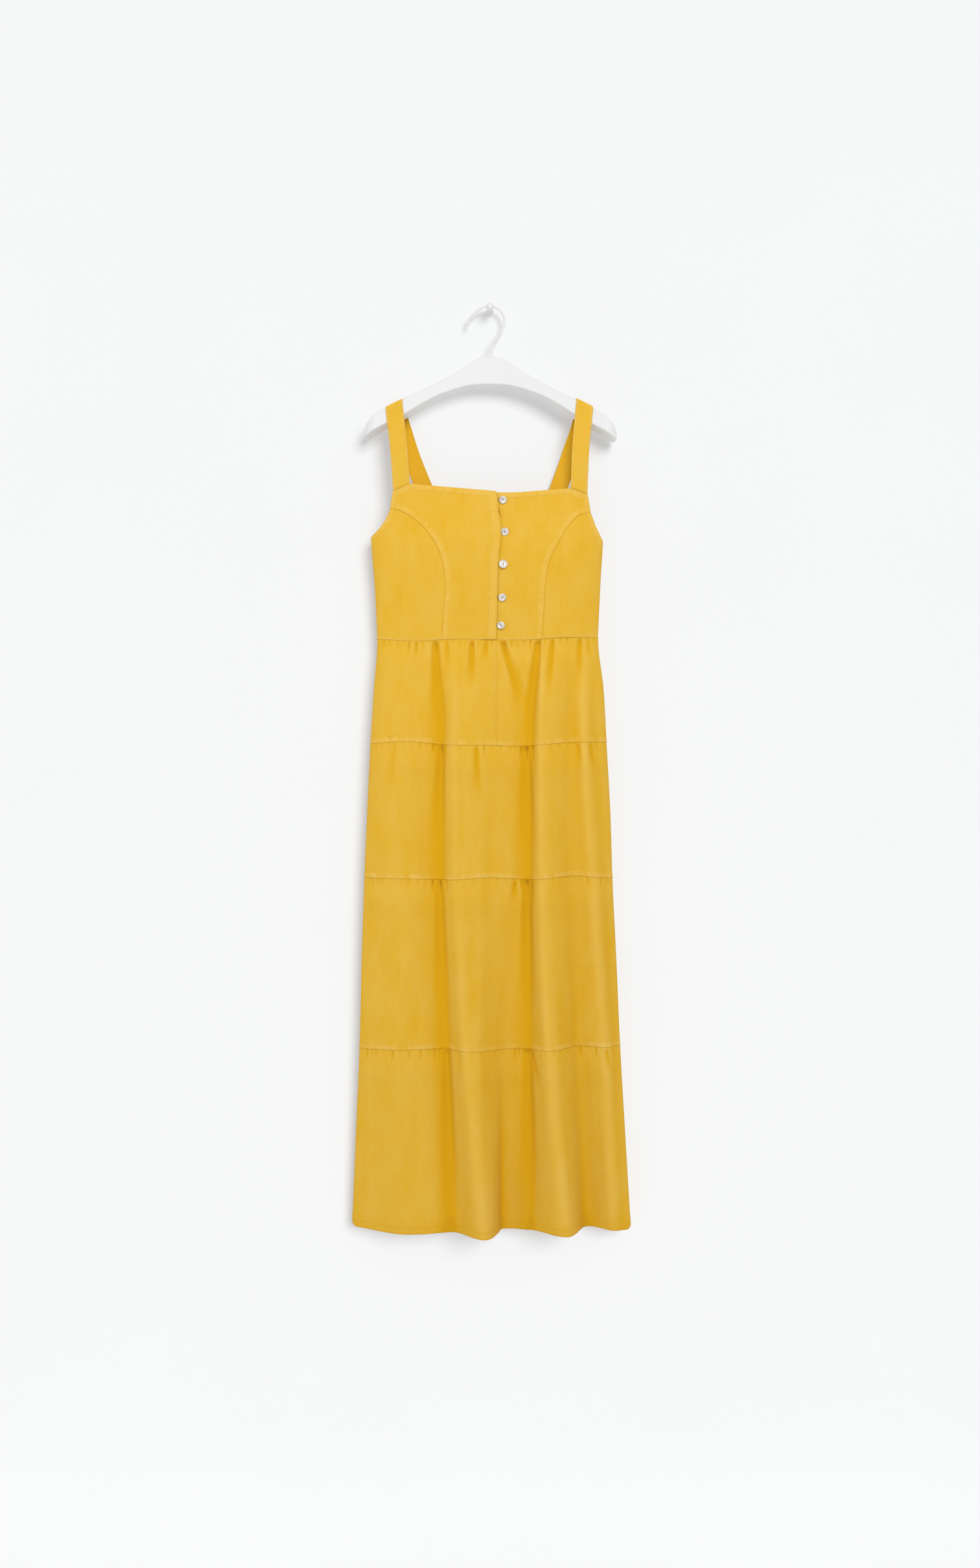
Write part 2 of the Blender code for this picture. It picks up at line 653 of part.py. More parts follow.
def build_tier(name, upper, lower, face, low=-1.0, high=1.0, steps=2):
    """One tier of the skirt on one face, between two seams."""
    length = seam_drop[lower, face](0) - seam_drop[upper, face](0)

    def spot(share, v):
        top_drop = seam_drop[upper, face](share) + SEAM_GAP / 2
        bottom_drop = seam_drop[lower, face](share) - (0 if lower == "hem" else SEAM_GAP / 2)
        drop = top_drop + (bottom_drop - top_drop) * v
        most = math.pi / 2 - seam_turn(drop, face)
        angle = min(max(math.asin(share), -most), most)
        return (angle if face == "front" else math.pi - angle), drop, 0.0

    dress_panel(name, columns(upper, face, low, high), tier_rows(length, steps), spot)


def build_skirt():
    """Four tiers. The first has a seam down the middle of its front."""
    middle, half = sides(WAIST_DROP)
    seam_share = (CENTRE_SEAM_X - middle) / half
    gap = SEAM_GAP / 2 / half
    build_tier("skirt_tier_1_front_left", "waist", "first", "front", high=seam_share - gap)
    build_tier("skirt_tier_1_front_right", "waist", "first", "front", low=seam_share + gap)
    build_tier("skirt_tier_1_back", "waist", "first", "back")
    names = list(SEAMS)
    for number in (2, 3, 4):
        for face in ("front", "back"):
            build_tier(f"skirt_tier_{number}_{face}", names[number - 1], names[number], face, steps=number)


# Straps


hanger_at = smooth([row[0] for row in HANGER_PLACES], [row[1:] for row in HANGER_PLACES])


def hanger_top(x):
    """The drop of the hanger's top at x, and half of its thickness there."""
    top_drop, _, half_thickness = hanger_at(abs(x - HANGER_X))
    return top_drop + (x - HANGER_X) * math.sin(HANGER_TILT), half_thickness


def strap_edge(side, sign, end, middle, over_x, back_middle, back_x):
    """One edge of a strap, from the front seam over the hanger to the back neckline."""
    shift = STRAP_SHIFT[side]
    over = sign * over_x + shift
    top_drop, half = hanger_top(over)
    off = STRAP_CLEARANCE + STRAP_WALL
    front = HANGER_DEPTH - half - off
    back = HANGER_DEPTH + half + off
    bend = off + STRAP_BEND
    cut = bend * (1 - math.sqrt(0.5))
    places = [(STRAP_FRONT_LEAN[side], front, STRAP_FALL), (0, front, STRAP_BEND),
              (0, front + cut, cut - off), (0, front + bend, -off),
              (0, HANGER_DEPTH, -off - STRAP_CROWN),
              (0, back - bend, -off), (0, back - cut, cut - off),
              (0, back, STRAP_BEND), (STRAP_BACK_LEAN[side], back, STRAP_FALL)]
    front_y = dress_point(angle_at(end[0], end[1], "front"), end[1])[1]
    back_end = (sign * back_x + STRAP_BACK_SHIFT[side], BACK_NECK_DROP - STRAP_END_GAP)
    back_y = dress_point(angle_at(*back_end, "back"), back_end[1])[1]
    points = [(end[0], front_y, -end[1] + STRAP_END_GAP)]
    points.append((sign * middle[0] + shift / 2, STRAP_MIDDLE[-1], -middle[1]))
    points += [(over - sign * lean, y, -top_drop - fall) for lean, y, fall in places]
    points.append((sign * back_middle[0] + STRAP_BACK_SHIFT[side], STRAP_BACK_MIDDLE[-1], -back_middle[1]))
    points.append((back_end[0], back_y, -back_end[1]))
    return path(points)


def build_straps():
    """Each strap runs from the front over the hanger and down to the back neckline."""
    for side, sign in (("left", -1), ("right", 1)):
        outer_end, inner_end = STRAP_JOINTS[side]
        outer_edge = strap_edge(side, sign, outer_end, STRAP_MIDDLE[:2], STRAP_OVER[0],
                                STRAP_BACK_MIDDLE[:2], STRAP_BACK_END[0])
        inner_edge = strap_edge(side, sign, inner_end, STRAP_MIDDLE[2:4], STRAP_OVER[1],
                                STRAP_BACK_MIDDLE[2:4], STRAP_BACK_END[1])

        def corner(u, v, outer_edge=outer_edge, inner_edge=inner_edge, sign=sign):
            step = 0.003
            low, high = max(v - step, 0), min(v + step, 1)
            along = (outer_edge(high) - outer_edge(low)) * (1 - u) + (inner_edge(high) - inner_edge(low)) * u
            normal = np.cross(along, inner_edge(v) - outer_edge(v)) * -sign
            normal /= np.linalg.norm(normal)
            point = outer_edge(v) * (1 - u) + inner_edge(v) * u
            return point, point - normal * STRAP_WALL

        across = np.linspace(0, 1, STRAP_COLUMNS)
        walled_grid("strap_" + side, across, strap_rows(outer_edge), corner, "linen")


def strap_rows(edge):
    """Shares along a strap: close together where it bends over the hanger."""
    shares = np.linspace(0, 1, 401)
    points = np.array([edge(share) for share in shares])
    steps = np.diff(points, axis=0)
    turns = [0.0]
    for before, after in zip(steps[:-1], steps[1:]):
        cosine = before @ after / np.linalg.norm(before) / np.linalg.norm(after)
        turns.append(turns[-1] + math.acos(min(max(cosine, -1), 1)))
    measure = np.array(turns + [turns[-1]]) / turns[-1] + STRAP_EVENNESS * shares
    marks = np.linspace(measure[0], measure[-1], STRAP_ROWS)
    return [float(np.interp(mark, measure, shares)) for mark in marks]


# Buttons


def build_buttons():
    """Five two-hole buttons with a raised rim, each flat on the right front."""
    radius = BUTTON_DIAMETER / 2
    profile = (
        (0.001, 0.0), (radius - 0.9, 0.0), (radius, 0.9), (radius - 0.1, BUTTON_THICKNESS - 0.3),
        (radius - 0.9, BUTTON_THICKNESS), (radius - 1.9, BUTTON_THICKNESS - 0.7),
        (0.001, BUTTON_THICKNESS - 1.0),
    )
    for number, (x, drop) in enumerate(BUTTONS, start=1):
        name = f"button_{number}"
        bm = turned(profile, 16)
        button = new_object(name, bm, "pearl", sharp=30)
        angle = angle_at(x, drop, "front")
        normal = dress_normal(angle, drop)
        seat = dress_point(angle, drop) + normal * BUTTON_SEAT
        button.location = seat * MM
        tilt = math.atan2(normal[2], -normal[1])
        button.rotation_euler = (math.pi / 2 - tilt, 0.0, math.atan2(normal[0], -normal[1]))
        for hole, shift in (("upper", 1), ("lower", -1)):
            cutter_mesh = bmesh.new()
            bmesh.ops.create_cone(
                cutter_mesh, cap_ends=True, segments=8, radius1=BUTTON_HOLE_DIAMETER / 2,
                radius2=BUTTON_HOLE_DIAMETER / 2, depth=4 * BUTTON_THICKNESS)
            bmesh.ops.rotate(cutter_mesh, verts=cutter_mesh.verts, matrix=Matrix.Rotation(0.2, 3, "Z"))
            place = (0, shift * BUTTON_HOLE_SPACING / 2, 0)
            bmesh.ops.translate(cutter_mesh, verts=cutter_mesh.verts, vec=place)
            cutter = new_object(f"{name}_{hole}_hole", cutter_mesh, "pearl")
            cutter.parent = button
            cutter.hide_render = True
            cutter.display_type = "WIRE"
            cut = button.modifiers.new(hole + " hole", "BOOLEAN")
            cut.object = cutter
            cut.solver = "EXACT"


def turned(profile, segments):
    """A profile of radius and height turned about Z."""
    bm = bmesh.new()
    verts = [bm.verts.new((radius, 0.0, height)) for radius, height in profile]
    edges = [bm.edges.new(pair) for pair in zip(verts, verts[1:])]
    bmesh.ops.spin(
        bm, geom=verts + edges, cent=(0, 0, 0), axis=(0, 0, 1), angle=2 * math.pi, steps=segments,
        use_merge=True)
    bmesh.ops.remove_doubles(bm, verts=bm.verts, dist=0.01)
    holes = [edge for edge in bm.edges if edge.is_boundary]
    if holes:
        bmesh.ops.holes_fill(bm, edges=holes)
    return bm


# Hanger, hook and knob


def ring(bm, distance, sign, top_drop, bottom_drop, half_thickness):
    """One eight-sided section of a hanger arm, with chamfered corners."""
    made = bmesh.ops.create_circle(bm, segments=8, radius=1)
    middle_drop = (top_drop + bottom_drop) / 2
    half_height = (bottom_drop - top_drop) / 2
    chamfer = min(3.0, 0.35 * half_height, 0.4 * half_thickness)
    corners = (
        (half_thickness, half_height - chamfer), (half_thickness - chamfer, half_height),
        (chamfer - half_thickness, half_height), (-half_thickness, half_height - chamfer),
        (-half_thickness, chamfer - half_height), (chamfer - half_thickness, -half_height),
        (half_thickness - chamfer, -half_height), (half_thickness, chamfer - half_height),
    )
    for vert, (y, z) in zip(made["verts"], corners):
        vert.co = (sign * distance, y, z - middle_drop)
    return [edge for edge in bm.edges if all(end in made["verts"] for end in edge.verts)]


def build_hanger():
    """A hanger whose arms grow thick towards the shoulders, with rounded ends."""
    bm = bmesh.new()
    stations = [(row, -1) for row in reversed(HANGER_PLACES[1:])] + [(row, 1) for row in HANGER_PLACES]
    loops = [ring(bm, row[0], sign, *row[1:]) for row, sign in stations]
    for first, second in zip(loops, loops[1:]):
        bmesh.ops.bridge_loops(bm, edges=first + second)
    bmesh.ops.contextual_create(bm, geom=loops[0])
    bmesh.ops.contextual_create(bm, geom=loops[-1])
    hanger = new_object("hanger", bm, "hanger_white", sharp=50)
    hanger.location = (HANGER_X * MM, HANGER_DEPTH * MM, 0.0)
    hanger.rotation_euler = (0.0, HANGER_TILT, 0.0)


def build_hook():
    """The hook: a stem on the hanger, a neck that leans right, and a round crook over the knob."""
    wire = WIRE_DIAMETER / 2
    middle_drop = CROOK_RADIUS - KNOB_NECK_RADIUS - SEAM_GAP - wire
    foot_drop = HANGER_PLACES[0][1] - SEAM_GAP
    points = [(HANGER_X, HANGER_DEPTH, -foot_drop), (HANGER_X, HANGER_DEPTH, STEM_HEIGHT - foot_drop)]
    for turn in np.linspace(*CROOK_ANGLES, 15):
        start, end = CROOK_FLARE_ANGLES
        radius = CROOK_RADIUS + CROOK_FLARE * ease((turn - start) / (end - start))
        points.append((CROOK_X + radius * math.cos(math.radians(turn)), CROOK_DEPTH,
                       CROOK_RADIUS * math.sin(math.radians(turn)) - middle_drop))
    route = path(points)
    curve = bpy.data.curves.new("hanger_hook", "CURVE")
    curve.dimensions = "3D"
    curve.bevel_depth = wire * MM
    curve.bevel_resolution = 2
    curve.use_fill_caps = True
    spline = curve.splines.new("POLY")
    count = 28
    spline.points.add(count - 1)
    for i in range(count):
        spline.points[i].co = (*(route(i / (count - 1)) * MM), 1.0)
    curve.materials.append(finish("hanger_hook", "hook_white"))
    hook = bpy.data.objects.new("hanger_hook", curve)
    bpy.context.scene.collection.objects.link(hook)


def build_knob():
    """A small turned knob: a flange on the wall, a neck for the hook and a rounded head."""
    profile = [(0.001, KNOB_PROFILE[0][1])] + list(KNOB_PROFILE) + [(0.001, KNOB_PROFILE[-1][1] - 0.3)]
    bm = turned([(radius, -depth) for radius, depth in profile], 20)
    knob = new_object("wall_knob", bm, "knob_white", sharp=50)
    knob.rotation_euler = (math.pi / 2, 0.0, 0.0)


def build():
    clear_scene()
    build_centre_fronts()
    build_side_fronts()
    build_back()
    build_skirt()
    build_straps()
    build_buttons()
    build_hanger()
    build_hook()
    build_knob()


build()
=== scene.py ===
# %% [markdown]
# # A tiered linen dress on its hanger
#
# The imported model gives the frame: one rigid body, in metres, with the wall as the plane y = 0 and
# the front of the dress towards -Y. Everything below is placed in that frame. The sizes are in
# millimetres, because a maker thinks in them, and each piece turns them into metres when it is closed.

# %% Load the frame
import math

import bmesh
import bpy
import numpy as np
from mathutils import Matrix, Vector
from mathutils.bvhtree import BVHTree


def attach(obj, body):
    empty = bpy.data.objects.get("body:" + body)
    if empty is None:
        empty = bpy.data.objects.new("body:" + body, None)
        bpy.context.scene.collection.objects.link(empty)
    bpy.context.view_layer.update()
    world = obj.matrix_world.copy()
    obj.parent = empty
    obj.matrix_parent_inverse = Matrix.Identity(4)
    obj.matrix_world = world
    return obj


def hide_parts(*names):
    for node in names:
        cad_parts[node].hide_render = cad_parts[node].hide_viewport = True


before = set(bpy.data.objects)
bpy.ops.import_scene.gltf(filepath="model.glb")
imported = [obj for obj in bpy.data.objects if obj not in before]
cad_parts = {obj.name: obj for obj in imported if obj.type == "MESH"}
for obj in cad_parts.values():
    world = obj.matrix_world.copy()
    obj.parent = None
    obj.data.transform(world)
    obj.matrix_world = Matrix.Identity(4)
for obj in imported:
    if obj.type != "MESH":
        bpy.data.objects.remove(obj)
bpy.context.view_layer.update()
MM = 0.001

# %% [markdown]
# ## Curves and gentle noise
#
# A dress has hardly a straight line. Every edge here is a short list of measured points with a smooth
# curve through them. Cloth is never quite even either, so there is also a soft noise: random values
# at even steps, eased from one to the next. Its seed is fixed, so each run gives the same dress.


# %% Curves
def smooth(keys, values):
    """A function that runs smoothly through the values, each at its key."""
    keys = np.asarray(keys, float)
    values = np.asarray(values, float)
    slopes = np.gradient(values, keys, axis=0)

    def at(key):
        key = np.clip(np.asarray(key, float), keys[0], keys[-1])
        i = np.clip(np.searchsorted(keys, key, side="right") - 1, 0, len(keys) - 2)
        tail = (1,) * (values.ndim - 1)
        span = (keys[i + 1] - keys[i]).reshape(key.shape + tail)
        t = (key - keys[i]).reshape(key.shape + tail) / span
        start = (1 + 2 * t) * (1 - t) ** 2 * values[i] + t * (1 - t) ** 2 * span * slopes[i]
        end = t * t * (3 - 2 * t) * values[i + 1] + t * t * (t - 1) * span * slopes[i + 1]
        return start + end

    return at


def run_along(points):
    """How far along a line each of its points is."""
    return np.concatenate([[0.0], np.cumsum(np.linalg.norm(np.diff(points, axis=0), axis=-1))])


def path(points):
    """A smooth path through points, as a function of the share of its length from 0 to 1."""
    points = np.asarray(points, float)
    lengths = run_along(points)
    return smooth(lengths / lengths[-1], points)


def part_of(route, start, end):
    return lambda t: route(start + (end - start) * np.asarray(t, float))


def joined(first, second, share):
    """Two paths end to end, the first taking the given share."""

    def at(t):
        t = np.asarray(t, float)
        low = first(np.clip(t / share, 0, 1))
        high = second(np.clip((t - share) / (1 - share), 0, 1))
        return np.where((t < share)[..., None], low, high)

    return at


def ease(t):
    """0 below 0, 1 above 1 and level at both ends."""
    t = np.clip(t, 0.0, 1.0)
    return t * t * (3 - 2 * t)


def hump(t):
    """1 at 0 and 0 from 1 outwards, level at both."""
    return np.where(np.abs(t) < 1, np.cos(np.pi * np.clip(t, -1, 1) / 2) ** 2, 0.0)


# %% Noise
LINE_VALUES = 997
LINE_START = 400
GRID_VALUES = 211
GRID_START = 100


def ripple(seed, step):
    """Soft noise from -1 to 1 along a line, with a random value at each step."""
    values = np.random.default_rng(seed).uniform(-1, 1, LINE_VALUES)

    def at(x):
        x = np.asarray(x, float) / step + LINE_START
        low = np.floor(x).astype(int)
        part = ease(x - low)
        return values[low % LINE_VALUES] * (1 - part) + values[(low + 1) % LINE_VALUES] * part

    return at


def cloud(seed, wide, tall):
    """Soft noise from -1 to 1 over a surface, in cells of the given width and height."""
    values = np.random.default_rng(seed).uniform(-1, 1, (GRID_VALUES, GRID_VALUES))

    def at(x, z):
        x = np.asarray(x, float) / wide + GRID_START
        z = np.asarray(z, float) / tall + GRID_START
        i, j = np.floor(x).astype(int), np.floor(z).astype(int)
        a, b = ease(x - i), ease(z - j)
        i, j, after_i, after_j = (k % GRID_VALUES for k in (i, j, i + 1, j + 1))
        low = values[i, j] * (1 - a) + values[after_i, j] * a
        high = values[i, after_j] * (1 - a) + values[after_i, after_j] * a
        return low * (1 - b) + high * b

    return at


print("noise at 12 mm:", round(float(ripple(1, 9)(12)), 3))

# %% [markdown]
# ## The form of the dress
#
# The dress hangs flat against a wall, so its body is a shallow tube: each height has a left side, a
# right side, and a swell to the front and to the back. The skirt adds long ridges that grow towards
# the hem. The same numbers made the solid model, and the cloth lies on that form.

# %% Section, seams and long folds
SIDES = (("left", -1), ("right", 1))
SECTION_POWER = 3.2
WAIST_DROP = 547.0
# Columns: drop, left, right, left depth, right depth, front, back
SECTIONS = (
    (260, -193, 183, -26, -26, 20, 17),
    (340, -195, 184, -26, -26, 23, 17),
    (383, -194.5, 184.5, -26, -26, 27, 17),
    (453, -188.7, 181.2, -26, -26, 25, 17),
    (517, -185.5, 178, -26, -26, 21, 17),
    (547, -184.4, 177, -26, -26, 20, 17),
    (623, -189.7, 185.5, -26, -26, 24, 17),
    (716, -195.6, 190.8, -26, -26, 26, 17),
    (835, -201.4, 197.2, -26, -26, 27, 17),
    (935, -205.6, 200.3, -26, -26, 26, 17),
    (1068, -209.9, 206.7, -26, -26, 25, 17),
    (1213, -213.6, 213, -25, -27, 24, 17),
    (1344, -219.4, 220.5, -23, -28, 23, 17),
    (1512, -226.2, 230.3, -22, -30, 22, 18),
)
SEAMS = {
    "waist": (545.5, 550.5, 548.0, 549.0, 549.0, 544.5, 542.5),
    "first": (716.3, 713.5, 719.3, 719.8, 720.6, 715.1, 713.6),
    "second": (934.6, 935.2, 936.8, 933.2, 936.4, 931.1, 935.7),
    "third": (1213.4, 1211.1, 1210.0, 1211.8, 1210.5, 1207.5, 1209.2),
    "hem": (1504.5, 1508.0, 1506.0, 1507.0, 1504.0, 1503.5, 1508.0),
}
RIDGE_DROPS = (547, 640, 935, 1213, 1510)
# Columns, each at those drops: middle, rise, reach to the left, reach to the right
FRONT_RIDGES = (
    ((-160, -155, -150, -142, -128), (0, 4, 8, 12, 14), (40, 45, 55, 70, 85), (50, 60, 62, 80, 120)),
    ((-50, -52, -52, -36, -8), (0, 8, 13, 24, 37), (30, 28, 28, 37, 53), (60, 90, 95, 60, 27)),
    ((40, 45, 45, 36, 25), (0, -1, -2, -6, -14), (30, 30, 30, 30, 24), (24, 24, 24, 30, 54)),
    ((86, 84, 84, 94, 124), (0, 9, 15, 24, 33), (14, 17, 22, 32, 58), (40, 50, 56, 48, 30)),
    ((132, 132, 136, 148, 162), (0, -1, -2, -8, -17), (20, 20, 22, 24, 26), (16, 16, 18, 24, 40)),
    ((152, 152, 166, 186, 204), (0, 5, 7, 8, 3), (16, 18, 20, 22, 20), (20, 22, 24, 20, 18)),
)
BACK_RIDGES = (
    ((-140, -138, -134, -128, -120), (0, 1, 2, 3, 4), (36, 40, 44, 50, 50), (40, 46, 50, 50, 50)),
    ((-80, -80, -78, -72, -66), (0, -2, -4, -7, -10), (30, 32, 34, 36, 40), (30, 32, 34, 36, 40)),
    ((-10, -12, -16, -12, -8), (0, 1, 2, 3, 4), (36, 40, 40, 40, 40), (34, 40, 40, 40, 40)),
    ((56, 56, 56, 60, 64), (0, -2, -4, -7, -10), (30, 32, 34, 36, 40), (30, 32, 34, 36, 40)),
    ((118, 120, 124, 126, 130), (0, 1, 2, 3, 4), (34, 40, 46, 50, 50), (34, 38, 42, 46, 48)),
)
# The front ridges that are folded more sharply on their left, and the one that is so on its right
# as well, from a drop on, over a length
SHARP_RIDGES = (1, 3)
BOTH_SHARP = 1
BOTH_SHARP_DROP = 1180
BOTH_SHARP_LENGTH = 260

section_at = smooth([row[0] for row in SECTIONS], [row[1:] for row in SECTIONS])
ridges_of = {
    face: [smooth(RIDGE_DROPS, np.transpose(columns)) for columns in ridges]
    for face, ridges in (("front", FRONT_RIDGES), ("back", BACK_RIDGES))
}
seam_drop = {}
for seam, drops in SEAMS.items():
    seam_drop[seam, "front"] = smooth(np.linspace(-1, 1, len(drops)), drops)
    seam_drop[seam, "back"] = smooth((-1, 0, 1), (drops[0], (drops[0] + drops[-1]) / 2 + 1.5, drops[-1]))


def sides(drop):
    """Middle and half width of the dress at a drop."""
    left, right = np.moveaxis(section_at(drop), -1, 0)[:2]
    return (left + right) / 2, (right - left) / 2


def share_of(x, drop):
    """Place across the dress, from -1 at its left side to 1 at its right."""
    middle, half = sides(drop)
    return np.clip((x - middle) / half, -1, 1)


print("widths at waist and hem:", [round(2 * float(sides(drop)[1])) for drop in (547, 1505)], "mm")

# %% [markdown]
# ## Gathers
#
# Each tier is cut wider than the one above and gathered into it. Washed linen lets most of that
# fullness go into a few long creases, with many short ticks beside them. A crease is a groove that
# starts at the seam, leans a little, and runs out. The front ones are listed one by one, and the back
# gets ones of its own in the same manner.

# %% The creases
# Columns: start, lean, half width, depth, length
FRONT_CREASES = {
    "waist": (
        (-172, -3, 3.5, 1.2, 22), (-163, 0, 2.5, 0.6, 14), (-150, -1, 3.5, 0.7, 22), (-140, 0, 2.5, 0.6, 12),
        (-131, -1, 3.0, 1.4, 26), (-119, -1, 3.0, 1.6, 32), (-108, 0, 2.5, 1.0, 22), (-98, 1, 2.5, 0.6, 14),
        (-88, 12, 6.0, 3.4, 165), (-83, 4, 3.0, 1.2, 60), (-69, 0, 3.5, 1.4, 56), (-60, 0, 2.5, 0.6, 16),
        (-48, 0, 3.0, 0.8, 20), (-38, 0, 2.5, 0.6, 14), (-28, -1, 4.5, 3.4, 92), (-18, 0, 2.5, 0.7, 16),
        (-5, -2, 3.5, 1.9, 42), (3, 0, 2.5, 0.6, 14), (19, 38, -6.5, 3.6, 130), (24, 4, 2.5, 1.4, 34),
        (35, 1, 3.0, 1.2, 22), (42, 6, 3.0, 0.9, 20), (55, 0, 2.5, 0.7, 16), (66, 0, 3.0, 1.3, 24),
        (80, -14, 6.5, 5.0, 165), (90, -4, 3.0, 1.0, 26), (103, -10, 4.5, 2.4, 116), (115, 0, 2.5, 0.8, 18),
        (125, 0, 3.0, 0.9, 20), (136, 0, 2.5, 0.6, 14), (147, -1, 4.5, 2.2, 94), (160, 5, 4.0, 1.2, 46),
        (169, 1, 3.0, 0.9, 24),
    ),
    "first": (
        (-184, 0, 3.0, 0.6, 14), (-176, 0, 3.0, 0.8, 18), (-165, 1, 2.5, 0.6, 14), (-153, -8, 6.0, 1.0, 96),
        (-139, 0, 2.5, 0.6, 14), (-125, 1, 3.0, 0.7, 16), (-112, 0, 3.0, 0.8, 18), (-101, 0, 2.5, 0.6, 12),
        (-92, 3, 3.5, 1.4, 24), (-87, 2, 2.5, 1.0, 20), (-77, -4, 6.0, 3.2, 165), (-71, -2, 3.0, 1.2, 40),
        (-58, 0, 2.5, 0.6, 14), (-48, 0, 3.0, 0.7, 16), (-34, 0, 2.5, 0.6, 12), (-21, 5, 4.5, 2.0, 100),
        (-9, 0, 3.0, 1.1, 22), (4, 0, 2.5, 0.6, 14), (18, 0, 3.0, 0.7, 14), (33, 0, 2.5, 0.7, 16),
        (43, 0, 2.5, 0.6, 14), (50, 2, 3.5, 1.5, 26), (60, 6, 8.0, 4.4, 200), (69, 1, 3.0, 1.6, 28),
        (84, 0, 2.5, 0.6, 14), (98, 0, 3.0, 0.7, 16), (112, 0, 2.5, 0.6, 12), (127, 0, 2.5, 0.6, 14),
        (142, 8, 4.0, 1.6, 56), (152, 0, 2.5, 0.8, 20), (163, 6, 4.0, 1.6, 50), (174, 0, 2.5, 0.6, 16),
    ),
    "second": (
        (-196, 0, 2.5, 0.7, 14), (-190, 0, 2.5, 0.9, 18), (-183, 0, 2.5, 0.9, 18), (-175, 0, 2.5, 0.9, 20),
        (-160, 0, 2.5, 0.6, 12), (-144, 0, 2.5, 0.6, 14), (-130, 0, 3.0, 0.7, 16), (-115, 0, 2.5, 0.6, 12),
        (-104, 0, 2.5, 0.7, 16), (-93, 3, 3.5, 1.6, 28), (-80, 7, 6.0, 2.8, 220), (-70, 0, 3.0, 1.5, 28),
        (-52, 0, 2.5, 0.6, 12), (-38, 0, 2.5, 0.6, 14), (-24, 0, 3.0, 0.7, 14), (-8, 0, 2.5, 0.6, 14),
        (12, 0, 2.5, 0.7, 14), (27, 0, 2.5, 0.7, 16), (41, -1, 3.5, 1.9, 44), (51, 0, 3.0, 1.3, 22),
        (61, 6, 7.0, 4.2, 240), (68, 2, 3.0, 1.5, 60), (84, 0, 2.5, 0.8, 18), (102, 0, 2.5, 0.6, 12),
        (122, 0, 2.5, 0.6, 14), (138, 0, 2.5, 0.6, 14), (158, 0, 3.5, 1.3, 28), (163, 7, 3.5, 1.0, 64),
        (180, 0, 3.0, 0.8, 20), (190, 0, 2.5, 0.6, 14),
    ),
    "third": (
        (-207, 0, 2.5, 0.7, 16), (-200, 0, 3.0, 1.2, 24), (-192, 0, 2.5, 0.7, 14), (-184, 0, 3.0, 1.0, 18),
        (-172, 0, 2.5, 0.6, 12), (-157, -1, 3.5, 1.4, 26), (-144, 0, 2.5, 0.6, 12), (-130, 0, 3.0, 1.0, 20),
        (-111, 0, 3.0, 1.2, 22), (-98, 1, 2.5, 0.9, 18), (-89, 2, 3.0, 1.2, 22), (-82, 2, 3.0, 1.2, 24),
        (-68, 10, 7.0, 2.8, 285), (-48, 0, 4.0, 1.0, 64), (-30, 0, 2.5, 0.6, 12), (-12, 0, 2.5, 0.7, 14),
        (8, 0, 2.5, 0.6, 12), (24, 0, 2.5, 0.8, 14), (41, 0, 3.0, 1.6, 26), (47, 0, 2.5, 1.2, 18),
        (62, 7, 8.5, 4.2, 300), (67, 16, 3.5, 1.8, 70), (88, 0, 2.5, 0.8, 16), (104, 0, 2.5, 0.6, 12),
        (126, 0, 2.5, 0.6, 14), (148, 0, 3.0, 1.3, 24), (160, 0, 2.5, 0.8, 14), (171, 1, 3.0, 1.3, 24),
        (188, 8, 4.0, 1.8, 48), (200, 1, 2.5, 0.8, 16),
    ),
}

BACK_MARGIN = 12.0
LONG_SPACING = 32.0
LONG_CHANCE = 0.3


def back_creases(seam, seed):
    """Creases for the back: a few long ones at uneven distances, and short ticks between."""
    random = np.random.default_rng(seed)
    left, right = section_at(seam_drop[seam, "back"](0))[:2]
    rows = []
    place, since_long = left + BACK_MARGIN, math.inf
    while place < right - BACK_MARGIN:
        long = since_long > LONG_SPACING and random.uniform() < LONG_CHANCE
        if long:
            rows.append((place, random.uniform(-9, 9), random.choice((-1, 1)) * random.uniform(4.5, 7),
                         random.uniform(1.6, 3.6), random.uniform(60, 190)))
        else:
            rows.append((place, 0.0, random.uniform(2.4, 3.6), random.uniform(0.5, 1.5),
                         random.uniform(12, 34)))
        step = random.uniform(7, 19)
        since_long = step if long else since_long + step
        place += step
    return tuple(rows)


BACK_CREASES = {seam: back_creases(seam, seed) for seed, seam in enumerate(FRONT_CREASES, start=3)}
creases_of = {"front": FRONT_CREASES, "back": BACK_CREASES}
print("creases on the front:", sum(map(len, FRONT_CREASES.values())))

# %% Relief of the skirt
PUFF_RISE = 1.8
PUFF_REACH = 70.0
FOLD_REACHES = (38, 17)
FOLD_DEPTH = 1.2
FOLD_HOLLOW = 0.95
LONG_CREASE = 40
# Columns: reach of a crease's slow side and of its steep side, distance to its full depth
LONG_SHAPE = (2.8, 1.5, 9)
SHORT_SHAPE = (1.2, 0.85, 4)
NARROWEST = 2.5
TICK_DEPTH = 0.6
TICK_LENGTH = 19
# Painted shade added where a crease is pressed shut.
SHUT_SHADE = 0.32
waviness = cloud(21, 46, 150)
long_folds = cloud(25, 15, 150)
crumple = cloud(22, 13, 34)
tick = ripple(23, 4.2)


